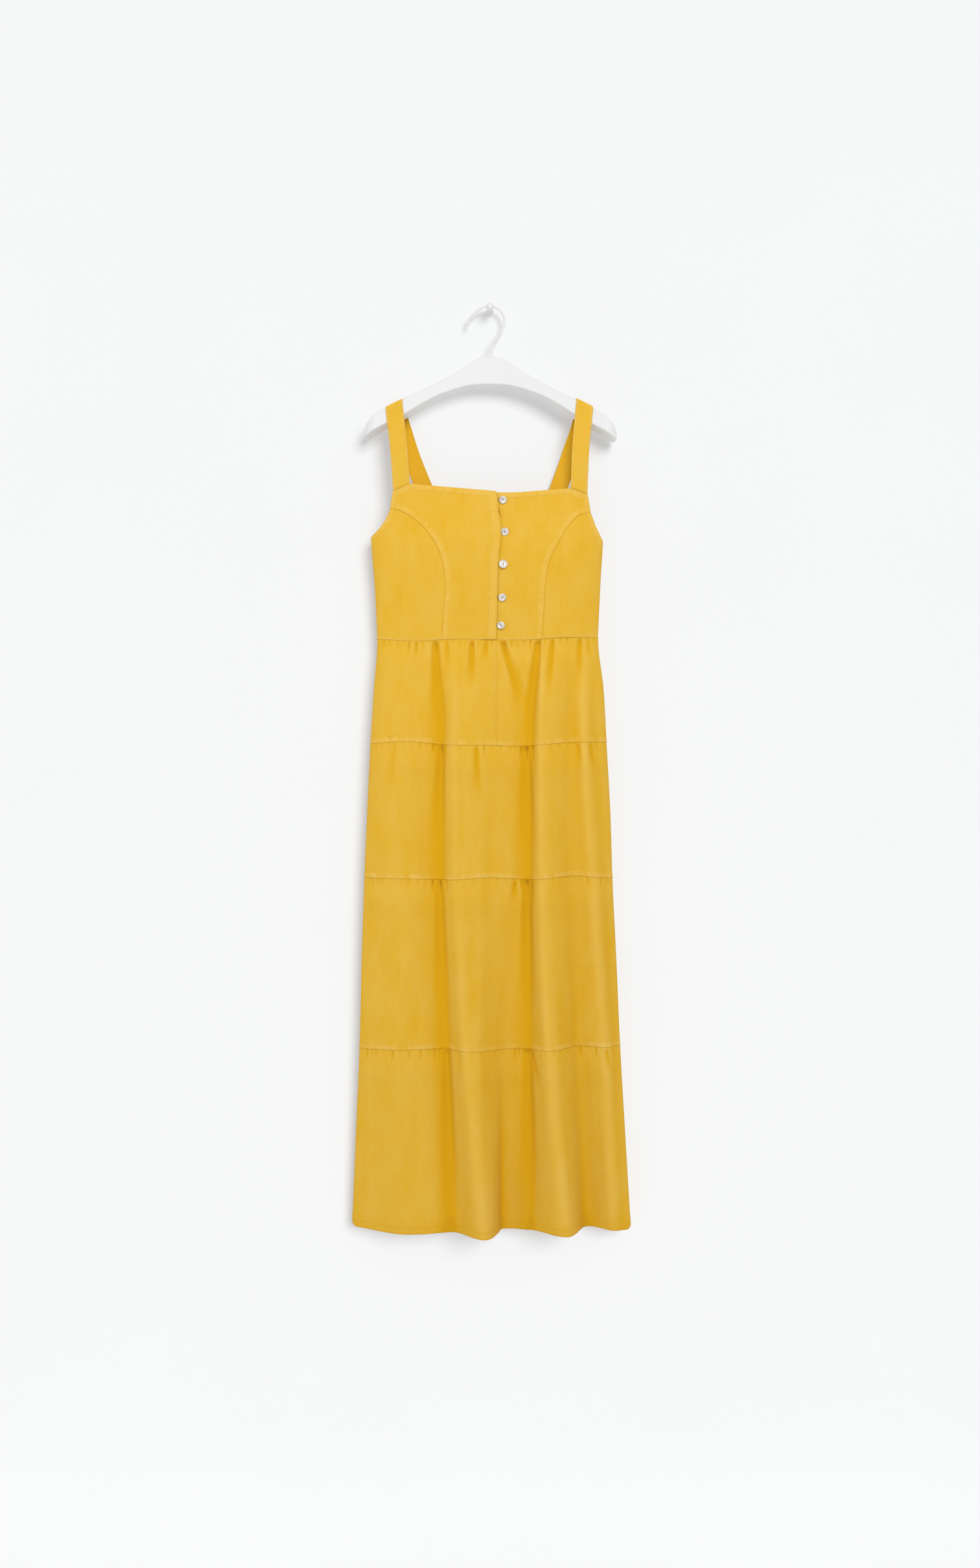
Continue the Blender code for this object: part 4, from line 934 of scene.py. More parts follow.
neck = path(NECKLINE)
opening = path(OPENING_EDGE)
neck_shares = np.linspace(0, 1, 2001)
back_armholes = {}
back_edges = {}
for side, sign in SIDES:
    on_left = side == "left"
    lap = 0.0 if on_left else LAP_WIDTH
    notch_path = path(ARMHOLES[side][: ARMHOLE_NOTCH + 1])
    armhole = path(ARMHOLES[side][ARMHOLE_NOTCH:])
    princess = path(PRINCESS_SEAMS[side])
    princess_foot = PRINCESS_SEAMS[side][-1][0]
    outer_edge = joined(notch_path, princess, 0.12)
    inner_edge = lambda t, lap=lap: opening(t) - np.array((lap, 0.0))
    neck_end = float(neck_shares[np.argmin(np.abs(neck(neck_shares)[:, 0] - inner_edge(0.0)[0]))])
    top_edge = joined(path(STRAP_JOINTS[side]), part_of(neck, 0 if on_left else 1, neck_end), 0.16)
    bottom_edge = waist_path(princess_foot, float(inner_edge(1.0)[0]), "front")
    bands = [(top_edge, 9.0, 0.3), (notch_path, 7.0, 0.2), (princess, 8.0, 0.2), (bottom_edge, 4.0, 0.2)]
    if on_left:
        bands.append((opening, 14.5, 0.2))
    bodice_piece("bodice_centre_front_" + side, patch(top_edge, bottom_edge, outer_edge, inner_edge), "front",
                 even_steps(150, 1.5), even_steps(245, 1.6), bands, ["strap_" + side],
                 lift_of=lap_lift if on_left else None, shade_of=None if on_left else lap_shade)
    underarm = ARMHOLES[side][-1]
    side_seam = side_path(sign, underarm[1], float(seam_drop["waist", "front"](sign)))
    side_bottom = waist_path(float(side_seam(1.0)[0]), princess_foot, "front")
    bodice_piece("bodice_side_front_" + side, patch(part_of(armhole, 1, 0), side_bottom, side_seam, princess),
                 "front", even_steps(112, 1.7) ** 1.25, even_steps(210, 1.8),
                 [(armhole, 7.0, 0.25), (side_bottom, 4.0, 0.25)], ["bodice_centre_front_" + side],
                 tucks=[princess])
    neck_x = sign * BACK_NECK_HALF
    corners = [(neck_x + (underarm[0] - neck_x) * out, BACK_NECK_DROP + (underarm[1] - BACK_NECK_DROP) * down)
               for out, down in ((0, 0), *BACK_ARMHOLE_STEPS, (1, 1))]
    back_armholes[side] = path(corners)
    back_seam = side_path(sign, underarm[1], float(seam_drop["waist", "back"](sign)))
    back_edges[side] = joined(back_armholes[side], back_seam, 0.34)


def back_neck(u):
    u = np.asarray(u, float)
    drop = BACK_NECK_DROP + BACK_NECK_SAG * np.sin(np.pi * u)
    return np.stack((BACK_NECK_HALF * (2 * u - 1), drop), axis=-1)


back_bottom = waist_path(*(float(back_edges[side](1.0)[0]) for side, sign in SIDES), "back")
bodice_piece("bodice_back", patch(back_neck, back_bottom, back_edges["left"], back_edges["right"]), "back",
             (1 - np.cos(np.pi * np.linspace(0, 1, 151))) / 2, even_steps(235, 2.2),
             [(back_neck, 9.0, 0.3), (back_armholes["left"], 7.0, 0.25),
              (back_armholes["right"], 7.0, 0.25), (back_bottom, 4.0, 0.25)], ["strap_left", "strap_right"])

# %% [markdown]
# ## The hanger
#
# A moulded hanger: flat in front, thin at the neck and thick at the shoulders, with rounded edges.
# It is lofted from rounded rectangles, each a circle whose points are pushed outwards to a box with
# soft corners, and the rings are bridged one by one.

# %% Hanger form
HANGER_X = 3.0
HANGER_DEPTH = -22.0
HANGER_TILT = math.radians(0.6)
# Columns: distance from the stem, drop of the top, drop of the bottom, half thickness
HANGER_PLACES = (
    (0, 84.0, 129.6, 9.0),
    (16, 84.6, 130.0, 9.0),
    (22, 88.0, 130.4, 9.2),
    (39, 99.1, 133.0, 9.8),
    (64, 114.7, 140.6, 10.8),
    (90, 129.2, 151.2, 12.2),
    (115, 142.3, 165.4, 13.6),
    (134, 151.4, 177.4, 14.8),
    (156, 162.4, 190.4, 16.0),
    (178, 174.6, 201.6, 17.6),
    (194, 186.4, 211.0, 18.0),
    (203, 198.4, 216.6, 14.0),
    (207, 206.4, 216.0, 6.0),
)
hanger_at = smooth([row[0] for row in HANGER_PLACES], [row[1:] for row in HANGER_PLACES])
print("hanger length:", 2 * HANGER_PLACES[-1][0], "mm")

# %% [markdown]
# ## Straps
#
# Each strap is one flat band, sewn to the front, carried over the hanger and down to the back. Both
# of its edges are topstitched. The two edges are followed as curves in space and the cloth lies
# between them.

# %% Straps
# Pairs: outer edge, inner edge
STRAP_OVER = (169.5, 142.5)
STRAP_MIDDLE = ((162.5, 235), (134.5, 232))
STRAP_BACK_MIDDLE = ((146.5, 236), (116.5, 236))
STRAP_BACK_END = (120.6, 90.4)
STRAP_MIDDLE_DEPTH = -43.0
STRAP_BACK_MIDDLE_DEPTH = -4.2
STRAP_SHIFT = {"left": 0.0, "right": -2.0}
STRAP_BACK_SHIFT = {"left": 0.0, "right": 2.0}
STRAP_END_SHIFT = {"left": 6.0, "right": -2.0}
STRAP_FRONT_LEAN = 1.1
STRAP_BACK_LEAN = {"left": 4.5, "right": 1.5}
STRAP_FALL = 14.0
STRAP_OFF = 2.2
STRAP_BEND = 2.0
STRAP_CROWN = 0.2
STRAP_STEP = 1.8
STRAP_COLUMNS = 21
STRAP_WALL = 1.2
STRAP_FRONT_ROW = 20


def on_dress(x, drop, face):
    return dress_point(angle_at(np.array([x]), np.array([drop]), face), np.array([drop]))[0]


def strap_edge(side, sign, edge):
    """One edge of a strap, from the front seam over the hanger to the back neckline."""
    shift, back_shift = STRAP_SHIFT[side], STRAP_BACK_SHIFT[side]
    end = STRAP_JOINTS[side][edge]
    over = sign * STRAP_OVER[edge] + shift
    top_drop, _, half = hanger_at(abs(over - HANGER_X))
    top_drop += (over - HANGER_X) * math.sin(HANGER_TILT)
    front = HANGER_DEPTH - half - STRAP_OFF
    back = HANGER_DEPTH + half + STRAP_OFF
    bend = STRAP_OFF + STRAP_BEND
    cut = bend * (1 - math.sqrt(0.5))
    places = [(STRAP_FRONT_LEAN, front, STRAP_FALL), (0, front, STRAP_BEND),
              (0, front + cut, cut - STRAP_OFF), (0, front + bend, -STRAP_OFF),
              (0, HANGER_DEPTH, -STRAP_OFF - STRAP_CROWN),
              (0, back - bend, -STRAP_OFF), (0, back - cut, cut - STRAP_OFF),
              (0, back, STRAP_BEND), (STRAP_BACK_LEAN[side], back, STRAP_FALL)]
    (middle_x, middle_drop), (back_x, back_drop) = STRAP_MIDDLE[edge], STRAP_BACK_MIDDLE[edge]
    back_end = (sign * STRAP_BACK_END[edge] + back_shift + STRAP_END_SHIFT[side], BACK_NECK_DROP)
    return path([(end[0], on_dress(*end, "front")[1], -end[1]),
                 (sign * middle_x + shift / 2, STRAP_MIDDLE_DEPTH, -middle_drop),
                 *((over - sign * lean, y, -top_drop - fall) for lean, y, fall in places),
                 (sign * back_x + back_shift, STRAP_BACK_MIDDLE_DEPTH, -back_drop),
                 (back_end[0], on_dress(*back_end, "back")[1], -back_end[1])])


strap_edges = {}
strap_wave = cloud(51, 12, 40)
for side, sign in SIDES:
    outer_edge, inner_edge = strap_edges[side] = [strap_edge(side, sign, edge) for edge in (0, 1)]
    fine = np.linspace(0, 1, 4001)
    run = run_along(outer_edge(fine))
    length = run[-1]
    rows = np.interp(np.linspace(0, length, round(length / STRAP_STEP) + 1), run, fine)
    u, v = np.meshgrid(np.linspace(0, 1, STRAP_COLUMNS), rows, indexing="ij")
    base = outer_edge(v) * (1 - u[..., None]) + inner_edge(v) * u[..., None]
    normals = outward(base, "front", STRAP_FRONT_ROW)
    width = np.linalg.norm(inner_edge(v) - outer_edge(v), axis=-1)
    from_edge = np.minimum(u, 1 - u) * width
    along = v * length
    rise, pale_and_highlight = band(from_edge, 4.0, along + 400 * (u > 0.5), 0.2)
    lift = rise + 0.25 * strap_wave(base[..., 0], along) - 0.7 * (1 - ease(from_edge / 0.9)) - 0.5
    lift -= (1 - ease((along + 1) / 4)) + (1 - ease((length - along + 1) / 4))
    # Behind the hanger the strap gets painted shade and loses its paler band.
    behind = ease((base[..., 1] + 22) / 12)
    sheet_of_cloth("strap_" + side, base + normals * lift[..., None], normals, pale_and_highlight * 0.8 * (1 - behind),
                   0.45 * behind,
                   grain=np.stack((u * width, along), axis=-1), thickness=STRAP_WALL)

# %% [markdown]
# ## Hanger, hook and knob
#
# The hook is a bent wire that leans back from the hanger to a small turned knob on the wall. The wire
# is a curve with a round bevel, made a mesh; the knob is a profile spun round its axis.

# %% White finishes
def white(name, colour, rough, grain, where):
    """Plastic or paint: nearly even, with a faint mottle and an eggshell bump."""
    finish = Finish(name, Roughness=rough)
    place = finish.node("TexCoord", output=3)
    mottle = finish.noise(place, (where, where, where), 3)
    shade = tuple(channel * 0.93 for channel in colour[:3]) + (1,)
    fine_grain = finish.noise(place, (grain, grain, grain), 2)
    finish.set(Base_Color=finish.mix(mottle, shade, colour), Roughness=rough - 0.08 + 0.16 * mottle,
               Normal=finish.bump(fine_grain, 0.08, 0.0002))
    return finish.material


hanger_white = white("hanger_plastic", (0.86, 0.86, 0.855, 1), 0.45, 900, 22)
hook_white = white("hook_paint", (0.86, 0.86, 0.855, 1), 0.3, 700, 60)
knob_white = white("knob_paint", (0.86, 0.86, 0.85, 1), 0.3, 900, 90)


def close_piece(name, bm, material, node, sharp):
    """Turns a bmesh in millimetres into a piece that stands for a node."""
    bmesh.ops.recalc_face_normals(bm, faces=bm.faces)
    bmesh.ops.scale(bm, vec=(MM, MM, MM), verts=bm.verts)
    mesh = bpy.data.meshes.new(name)
    bm.to_mesh(mesh)
    bm.free()
    mesh.shade_smooth()
    mesh.set_sharp_from_angle(angle=math.radians(sharp))
    mesh.materials.append(material)
    declare(add(name, mesh), node)
    print(name, len(mesh.polygons), "faces")


# %% Hanger
HANGER_CORNER = 2.2
HANGER_HOLD = 0.35
HANGER_ROUND_END = 15.0
HANGER_FULLEST = 194


def rounded_ring(bm, x, top_drop, bottom_drop, half_thickness):
    """A ring of the hanger's section: flat sides, corners of five points, one more to hold each side."""
    made = bmesh.ops.create_circle(bm, segments=28, radius=1)
    half_height = (bottom_drop - top_drop) / 2
    corner = min(HANGER_CORNER, 0.45 * half_height, 0.45 * half_thickness)
    hold = min(HANGER_HOLD, 0.2 * corner)
    for number, vert in enumerate(made["verts"]):
        quarter, step = divmod(number, 7)
        side = Vector((math.cos(quarter * math.pi / 2), math.sin(quarter * math.pi / 2)))
        ahead = Vector((-side.y, side.x))
        centre = side + ahead
        centre = Vector((centre.x * (half_thickness - corner), centre.y * (half_height - corner)))
        if step == 0:
            spot = centre + corner * side - hold * ahead
        elif step == 6:
            spot = centre + corner * ahead - hold * side
        else:
            turn = (step - 1) * math.pi / 8
            spot = centre + corner * (math.cos(turn) * side + math.sin(turn) * ahead)
        vert.co = (x, spot.x, spot.y - (top_drop + bottom_drop) / 2)
    return [edge for edge in bm.edges if edge.verts[0] in made["verts"] and edge.verts[1] in made["verts"]]


bm = bmesh.new()
reach = HANGER_PLACES[-1][0]
straight = reach - HANGER_ROUND_END
stations = np.concatenate([np.linspace(0, straight, 50),
                           reach - HANGER_ROUND_END * np.cos(np.linspace(0.1, 1.5, 12))])
stations = np.concatenate([-stations[::-1], stations[1:]])
loops = []
for x in stations:
    top_drop, bottom_drop, _ = hanger_at(abs(x))
    half_thickness = float(hanger_at(min(abs(x), HANGER_FULLEST))[2])
    half_thickness *= math.sqrt(1 - (max(abs(x) - straight, 0) / (HANGER_ROUND_END + 0.6)) ** 2)
    loops.append(rounded_ring(bm, float(x), float(top_drop), float(bottom_drop), half_thickness))
for first, second in zip(loops, loops[1:]):
    bmesh.ops.bridge_loops(bm, edges=first + second)
for end in (loops[0], loops[-1]):
    bmesh.ops.contextual_create(bm, geom=end)
bmesh.ops.rotate(bm, verts=bm.verts, cent=(0, 0, 0), matrix=Matrix.Rotation(HANGER_TILT, 3, "Y"))
bmesh.ops.translate(bm, verts=bm.verts, vec=(HANGER_X, HANGER_DEPTH, 0.0))
close_piece("moulded_hanger", bm, hanger_white, "hanger", sharp=60)

# %% Hook
WIRE_RADIUS = 2.0
CROOK_DEPTH = -14.0
CROOK_X = -1.0
CROOK_RADIUS = 25.0
CROOK_FLARE = 11.0
CROOK_FLARE_ANGLES = (110.0, 200.0)
CROOK_ANGLES = (-32.0, 198.0)
STEM_HEIGHT = 17.0
KNOB_NECK_RADIUS = 2.6
HOOK_GAP = 0.3
crook_drop = CROOK_RADIUS - KNOB_NECK_RADIUS - HOOK_GAP - WIRE_RADIUS
foot_drop = HANGER_PLACES[0][1] - HOOK_GAP
bends = [(HANGER_X, HANGER_DEPTH, -foot_drop - 1.5), (HANGER_X, HANGER_DEPTH, STEM_HEIGHT - foot_drop)]
for turn in np.linspace(*CROOK_ANGLES, 15):
    start, end = CROOK_FLARE_ANGLES
    radius = CROOK_RADIUS + CROOK_FLARE * float(ease((turn - start) / (end - start)))
    bends.append((CROOK_X + radius * math.cos(math.radians(turn)), CROOK_DEPTH,
                  CROOK_RADIUS * math.sin(math.radians(turn)) - crook_drop))
wire_path = path(bends)


def tube(name, runs, radius, material, resolution, node=None, rings=None):
    """Round wires or threads along runs of points, in millimetres, as one closed mesh."""
    curve = bpy.data.curves.new(name, "CURVE")
    curve.dimensions = "3D"
    curve.bevel_depth = radius * MM
    curve.bevel_resolution = resolution
    curve.use_fill_caps = True
    for run in runs:
        spline = curve.splines.new("POLY")
        spline.points.add(len(run) - 1)
        spline.points.foreach_set("co", np.column_stack((np.asarray(run) * MM, np.ones(len(run)))).ravel())
        if rings is not None:
            spline.points.foreach_set("radius", rings)
    holder = add(name + "_path", curve)
    mesh = bpy.data.meshes.new_from_object(holder.evaluated_get(bpy.context.evaluated_depsgraph_get()))
    bpy.data.objects.remove(holder, do_unlink=True)
    mesh.name = name
    mesh.materials.clear()
    mesh.materials.append(material)
    mesh.shade_smooth()
    declare(add(name, mesh), node)
    print(name, len(mesh.polygons), "faces")


WIRE_POINTS = 120
WIRE_TIP = (0.96, 0.8, 0.45)
wire_rings = np.ones(WIRE_POINTS)
wire_rings[-len(WIRE_TIP):] = WIRE_TIP
tube("hook_wire", [wire_path(np.linspace(0, 1, WIRE_POINTS))], WIRE_RADIUS, hook_white, 6,
     "hanger_hook", wire_rings)

# %% Knob
KNOB_PROFILE = (
    (0.001, 0.0), (6.4, 0.0), (6.4, -2.0), (6.1, -2.6), (5.4, -3.3), (3.6, -4.1), (2.6, -5.2), (2.6, -12.0),
    (2.6, -18.2), (3.2, -19.0), (4.6, -19.8), (5.8, -21.0), (6.4, -22.4), (6.5, -24.2), (6.1, -26.0),
    (5.2, -27.2), (3.8, -28.1), (2.0, -28.6), (0.001, -28.7),
)
TURNED_STEPS = 40


def turned(profile, axis):
    """A form turned round an axis from a profile of radius and height."""
    bm = bmesh.new()
    axis = Vector(axis)
    verts = [bm.verts.new(Vector((radius, 0, 0)) + height * axis) for radius, height in profile]
    edges = [bm.edges.new(pair) for pair in zip(verts, verts[1:])]
    bmesh.ops.spin(bm, geom=verts + edges, cent=(0, 0, 0), axis=axis, angle=2 * math.pi, steps=TURNED_STEPS,
                   use_merge=True)
    bmesh.ops.remove_doubles(bm, verts=bm.verts, dist=0.01)
    return bm


close_piece("turned_knob", turned(KNOB_PROFILE, (0, 1, 0)), knob_white, "wall_knob", sharp=50)

# %% [markdown]
# ## Buttons
#
# Small shell buttons with a raised rim and two holes, one above the other. Shell is layered, so its
# colour drifts between warm white and grey, with darker patches painted in as reflections, and it
# shines softly under a clear surface.

# %% Pearl finish
pearl = Finish("pearl_shell", Roughness=0.22, Coat_Weight=0.5, Coat_Roughness=0.08)
place = pearl.node("TexCoord", output=3)
layers = pearl.noise(place, (260, 260, 130), 4, 0.6)
clouds = pearl.noise(place, (90, 90, 90), 2)
# Layered shell tone; its darker patches are painted reflections.
sheen_tone = pearl.node("ValToRGB", {"stops": ((0.34, (0.50, 0.43, 0.36, 1)), (0.62, (0.90, 0.87, 0.82, 1)))},
                        {"Fac": layers * 0.7 + clouds * 0.4 - 0.05})
pearl.set(Base_Color=sheen_tone, Roughness=0.16 + 0.2 * clouds, Normal=pearl.bump(layers, 0.15, 0.0003))


def spun_thread(name, dark, pale):
    """Twisted thread: fine streaks between two tones."""
    finish = Finish(name, Roughness=0.7)
    strands = finish.noise(finish.node("TexCoord", output=3), (2600, 2600, 900), 2)
    finish.set(Base_Color=finish.mix(strands, dark, pale), Normal=finish.bump(strands, 0.3, 0.0001))
    return finish.material


seam_thread = spun_thread("seam_thread", (0.60, 0.34, 0.025, 1), (0.74, 0.47, 0.08, 1))
button_thread = spun_thread("button_thread", (0.20, 0.10, 0.03, 1), (0.48, 0.28, 0.08, 1))

# %% Buttons
# Columns: place across, drop, tip back and turn to the side in degrees, size
BUTTONS = (
    (20.8, 322.4, 2, 3, 1.0),
    (24.2, 374.5, 5, -8, 1.0),
    (21.2, 427.1, -9, 3, 1.12),
    (19.8, 480.3, 4, 7, 1.0),
    (17.6, 525.2, -3, -2, 1.0),
)
BUTTON_PROFILE = (
    (0.001, 0.0), (5.2, 0.0), (5.9, 0.35), (6.3, 1.0), (6.3, 1.5), (6.1, 2.0), (5.7, 2.3), (5.2, 2.35),
    (4.8, 2.1), (4.3, 1.65), (3.6, 1.45), (0.001, 1.4),
)
BUTTON_SEAT = 0.6
HOLE_RADIUS = 0.85
HOLE_REACH = 1.7
HOLE_TURN = 0.2
SEWING_RADIUS = 0.24
# A thread from hole to hole, seen from the side: share of the holes' distance, shift, height
SEWING_BAR = ((1, 0, 0.6), (1, -0.2, 1.5), (0, 0, 1.75), (-1, 0.2, 1.5), (-1, 0, 0.6))


def turn_about(degrees, axis):
    return Matrix.Rotation(math.radians(degrees), 4, axis)


def cut_holes(button):
    """Two holes through a button, one above the other."""
    for shift in (1, -1):
        bm = bmesh.new()
        bmesh.ops.create_cone(bm, cap_ends=True, segments=16, radius1=HOLE_RADIUS, radius2=HOLE_RADIUS,
                              depth=9)
        bmesh.ops.rotate(bm, verts=bm.verts, matrix=Matrix.Rotation(HOLE_TURN, 3, "Z"))
        bmesh.ops.translate(bm, verts=bm.verts, vec=(0, shift * HOLE_REACH, 0))
        mesh = bpy.data.meshes.new("hole")
        bm.to_mesh(mesh)
        bm.free()
        drill = add("hole", mesh)
        cut = button.modifiers.new("hole", "BOOLEAN")
        cut.object = drill
        cut.solver = "EXACT"
        bpy.context.view_layer.update()
        done = bpy.data.meshes.new_from_object(button.evaluated_get(bpy.context.evaluated_depsgraph_get()))
        button.modifiers.clear()
        button.data = done
        bpy.data.objects.remove(drill, do_unlink=True)


sewing = []
for number, (x, drop, tip, side_turn, size) in enumerate(BUTTONS, start=1):
    bm = turned(BUTTON_PROFILE, (0, 0, 1))
    bmesh.ops.recalc_face_normals(bm, faces=bm.faces)
    mesh = bpy.data.meshes.new(f"shell_button_{number}")
    bm.to_mesh(mesh)
    bm.free()
    button = add(f"shell_button_{number}", mesh)
    cut_holes(button)
    mesh = button.data
    mesh.shade_smooth()
    mesh.set_sharp_from_angle(angle=math.radians(35))
    seat = Vector(on_dress(x, drop, "front") - (0.0, BUTTON_SEAT, 0.0))
    to_place = Matrix.Translation(seat) @ turn_about(4 * side_turn, "Y") @ turn_about(90 + tip, "X")
    to_place = to_place @ turn_about(side_turn, "Y") @ Matrix.Scale(size, 4)
    mesh.transform(Matrix.Scale(MM, 4) @ to_place)
    mesh.materials.clear()
    mesh.materials.append(pearl.material)
    declare(button, f"button_{number}")
    for beside_middle in (-0.35, 0.35):
        bar = [Vector((beside_middle, share * HOLE_REACH + shift, height))
               for share, shift, height in SEWING_BAR]
        sewing.append([tuple(to_place @ point) for point in bar])
tube("button_sewing", sewing, SEWING_RADIUS, button_thread, 1)

# %% [markdown]
# ## Stitching
#
# A row of stitches is many short threads that dip into the cloth. Each row follows a line on the
# dress: it is laid on the cloth by casting a ray at it, and each stitch is a short bowed run of a
# thread. All the stitches of one seam are one piece.

# %% Stitch rows
STITCH_PITCH = 3.1
STITCH_LENGTH = 2.3
THREAD_RADIUS = 0.2
STITCH_START = 0.3
# How a stitch runs: share of its length from its middle, height over the cloth
STITCH = ((-0.5, -0.25), (-0.3, 0.06), (0.3, 0.06), (0.5, -0.25))
CAST_FROM = 8
LINE_STEPS = 400


def lay_stitches(rows):
    """Stitches along rows of (piece names, points, directions outwards), in millimetres."""
    runs = []
    for names, line, normals in rows:
        length = run_along(line)
        first, last = STITCH_START + STITCH_LENGTH / 2, length[-1] - STITCH_LENGTH / 2
        for centre in np.arange(first, last, STITCH_PITCH):
            run = []
            for share, height in STITCH:
                at = centre + share * STITCH_LENGTH
                point, normal = (np.array([np.interp(at, length, values[:, k]) for k in range(3)])
                                 for values in (line, normals))
                normal /= np.linalg.norm(normal)
                for name in names:
                    hit, *_ = surfaces[name].ray_cast(
                        Vector((point + normal * CAST_FROM) * MM), Vector(-normal), 2 * CAST_FROM * MM)
                    if hit is not None:
                        run.append(tuple(np.array(hit) / MM + normal * height))
                        break
            if len(run) == len(STITCH):
                runs.append(run)
    return runs


def line_on(face, route):
    """Points and outward directions on the dress along a path of x and drop."""
    x, drop = route(np.linspace(0, 1, LINE_STEPS)).T
    points = dress_point(angle_at(x, drop, face), drop)
    share = np.clip(share_of(x, drop), -0.995, 0.995)
    normals = np.zeros_like(points)
    normals[:, 1] = -1 if face == "front" else 1
    normals[:, 0] = np.sign(share) * ease((np.abs(share) - 0.8) / 0.2)
    return points, normals / np.linalg.norm(normals, axis=1, keepdims=True)


def beside(route, distance, start=0.0, end=1.0):
    """A path moved sideways by a distance, to its right as it runs."""

    def at(t):
        t = start + (end - start) * np.asarray(t, float)
        points = route(t)
        ahead = route(np.clip(t + 0.002, 0, 1)) - route(np.clip(t - 0.002, 0, 1))
        ahead /= np.maximum(np.linalg.norm(ahead, axis=-1, keepdims=True), 1e-9)
        return points + distance * np.stack((-ahead[..., 1], ahead[..., 0]), axis=-1)

    return at


def seam_route(seam, face, raise_by, low=-0.985, high=0.985):
    """A line across the dress that follows a seam, a little above it."""

    def at(t):
        share = low + (high - low) * np.asarray(t, float)
        drop = seam_drop[seam, face](share) - raise_by
        middle, half = sides(drop)
        return np.stack((middle + half * share, drop), axis=-1)

    return at


def sew(name, rows):
    runs = lay_stitches(rows)
    tube(name, runs, THREAD_RADIUS, seam_thread, 0)
    print(name, len(runs), "stitches")


for number, seam in enumerate(SEAMS):
    group = f"cloth_skirt_tier_{number}" if number else "cloth_bodice"
    above = {"hem": HEM_BAND - 1.3, "waist": 3.6}.get(seam, BAND - 1.3)
    rows = []
    for face in ("front", "back"):
        names = [name for name in surfaces if name.startswith(group) and face in name]
        rows.append((names, *line_on(face, seam_route(seam, face, above))))
    sew("stitches_" + seam, rows)


def centre_seam(t):
    """The row beside the middle seam of the first tier."""
    t = np.asarray(t, float)
    return np.stack((CENTRE_SEAM_X - 5.7 + 4 * t, 552 + 155 * t), axis=-1)


left_front = ["bodice_centre_front_left"]
# Columns: piece names without "cloth_", face, path
bodice_rows = []
for side, sign in SIDES:
    names = ["bodice_centre_front_" + side]
    both = names + ["bodice_side_front_" + side]
    neck_share = (0.0, 0.515) if side == "left" else (0.46, 1.0)
    bodice_rows += [
        (names, "front", beside(path(PRINCESS_SEAMS[side]), -sign * 7.7, 0.04, 0.985)),
        (names, "front", beside(neck, 8.7, *neck_share)),
        (names, "front", beside(path(STRAP_JOINTS[side]), sign * -3.0, 0.05, 0.95)),
        (both, "front", beside(path(ARMHOLES[side]), sign * 6.7, 0.02, 0.97)),
        (["bodice_back"], "back", beside(back_armholes[side], sign * 6.7, 0.03, 0.97)),
    ]
bodice_rows += [
    (left_front, "front", beside(opening, 13.7, 0.035, 0.985)),
    (left_front, "front", beside(opening, 2.0, 0.02, 0.985)),
    (left_front, "front", path(((-2.5, 340), (13.5, 341.5)))),
    (["bodice_back"], "back", beside(back_neck, 8.7)),
    (["skirt_tier_1_front_left"], "front", centre_seam),
]
sew("stitches_bodice", [(["cloth_" + name for name in names], *line_on(face, route))
                        for names, face, route in bodice_rows])

rows = []
for side, (outer_edge, inner_edge) in strap_edges.items():
    for share in (0.11, 0.89):
        t = np.linspace(0.01, 0.99, 500)
        line = outer_edge(t) * (1 - share) + inner_edge(t) * share
        normals = np.cross(np.gradient(line, axis=0), inner_edge(t) - outer_edge(t))
        normals /= np.linalg.norm(normals, axis=1, keepdims=True)
        rows.append((["cloth_strap_" + side], line, -normals if normals[30, 1] > 0 else normals))
sew("stitches_straps", rows)

# %% [markdown]
# ## Button loops
#
# Thin thread loops at the folded edge hold the buttons. Each starts at the edge, passes behind its
# button and comes back, so only a short end of it shows.

# %% Loops
LOOP_RADIUS = 0.3
LOOP_REACH = 1.5
loops = []
for x, drop, *_ in BUTTONS:
    edge = float(opening_x(drop))
    depth = on_dress(x, drop, "front")[1] - 0.3
    turns = np.linspace(-math.pi / 2, math.pi / 2, 17)
    loops.append(np.column_stack((edge - 0.7 + (x - edge + LOOP_REACH) * np.cos(turns),
                                  depth - 2.4 * (1 - np.cos(turns)) ** 0.7,
                                  0.8 - drop + 1.3 * np.sin(turns))))
tube("button_loops", loops, LOOP_RADIUS, button_thread, 2)

# %% A loose end of thread
LOOSE_END = (-162.2, 706.0)
LOOSE_RADIUS = 0.22
bend = np.arange(-2, 3)
curl = np.column_stack((0.5 * bend, np.full(5, -0.35), 0.35 * bend ** 2))
tube("loose_thread_end", [on_dress(*LOOSE_END, "front") + curl], LOOSE_RADIUS, button_thread, 1)

# %% [markdown]
# ## Stage, light and camera
#
# The dress hangs on a pale wall that sweeps down to a pale floor. The wall gives off part of its light
# itself and shows only from its front, so the other side of the dress can be looked at too. A soft key
# comes from above, and a second one throws the soft shadow to the lower left. Two soft boxes shape the
# folds, a third lights the back, and the sky fills the rest.

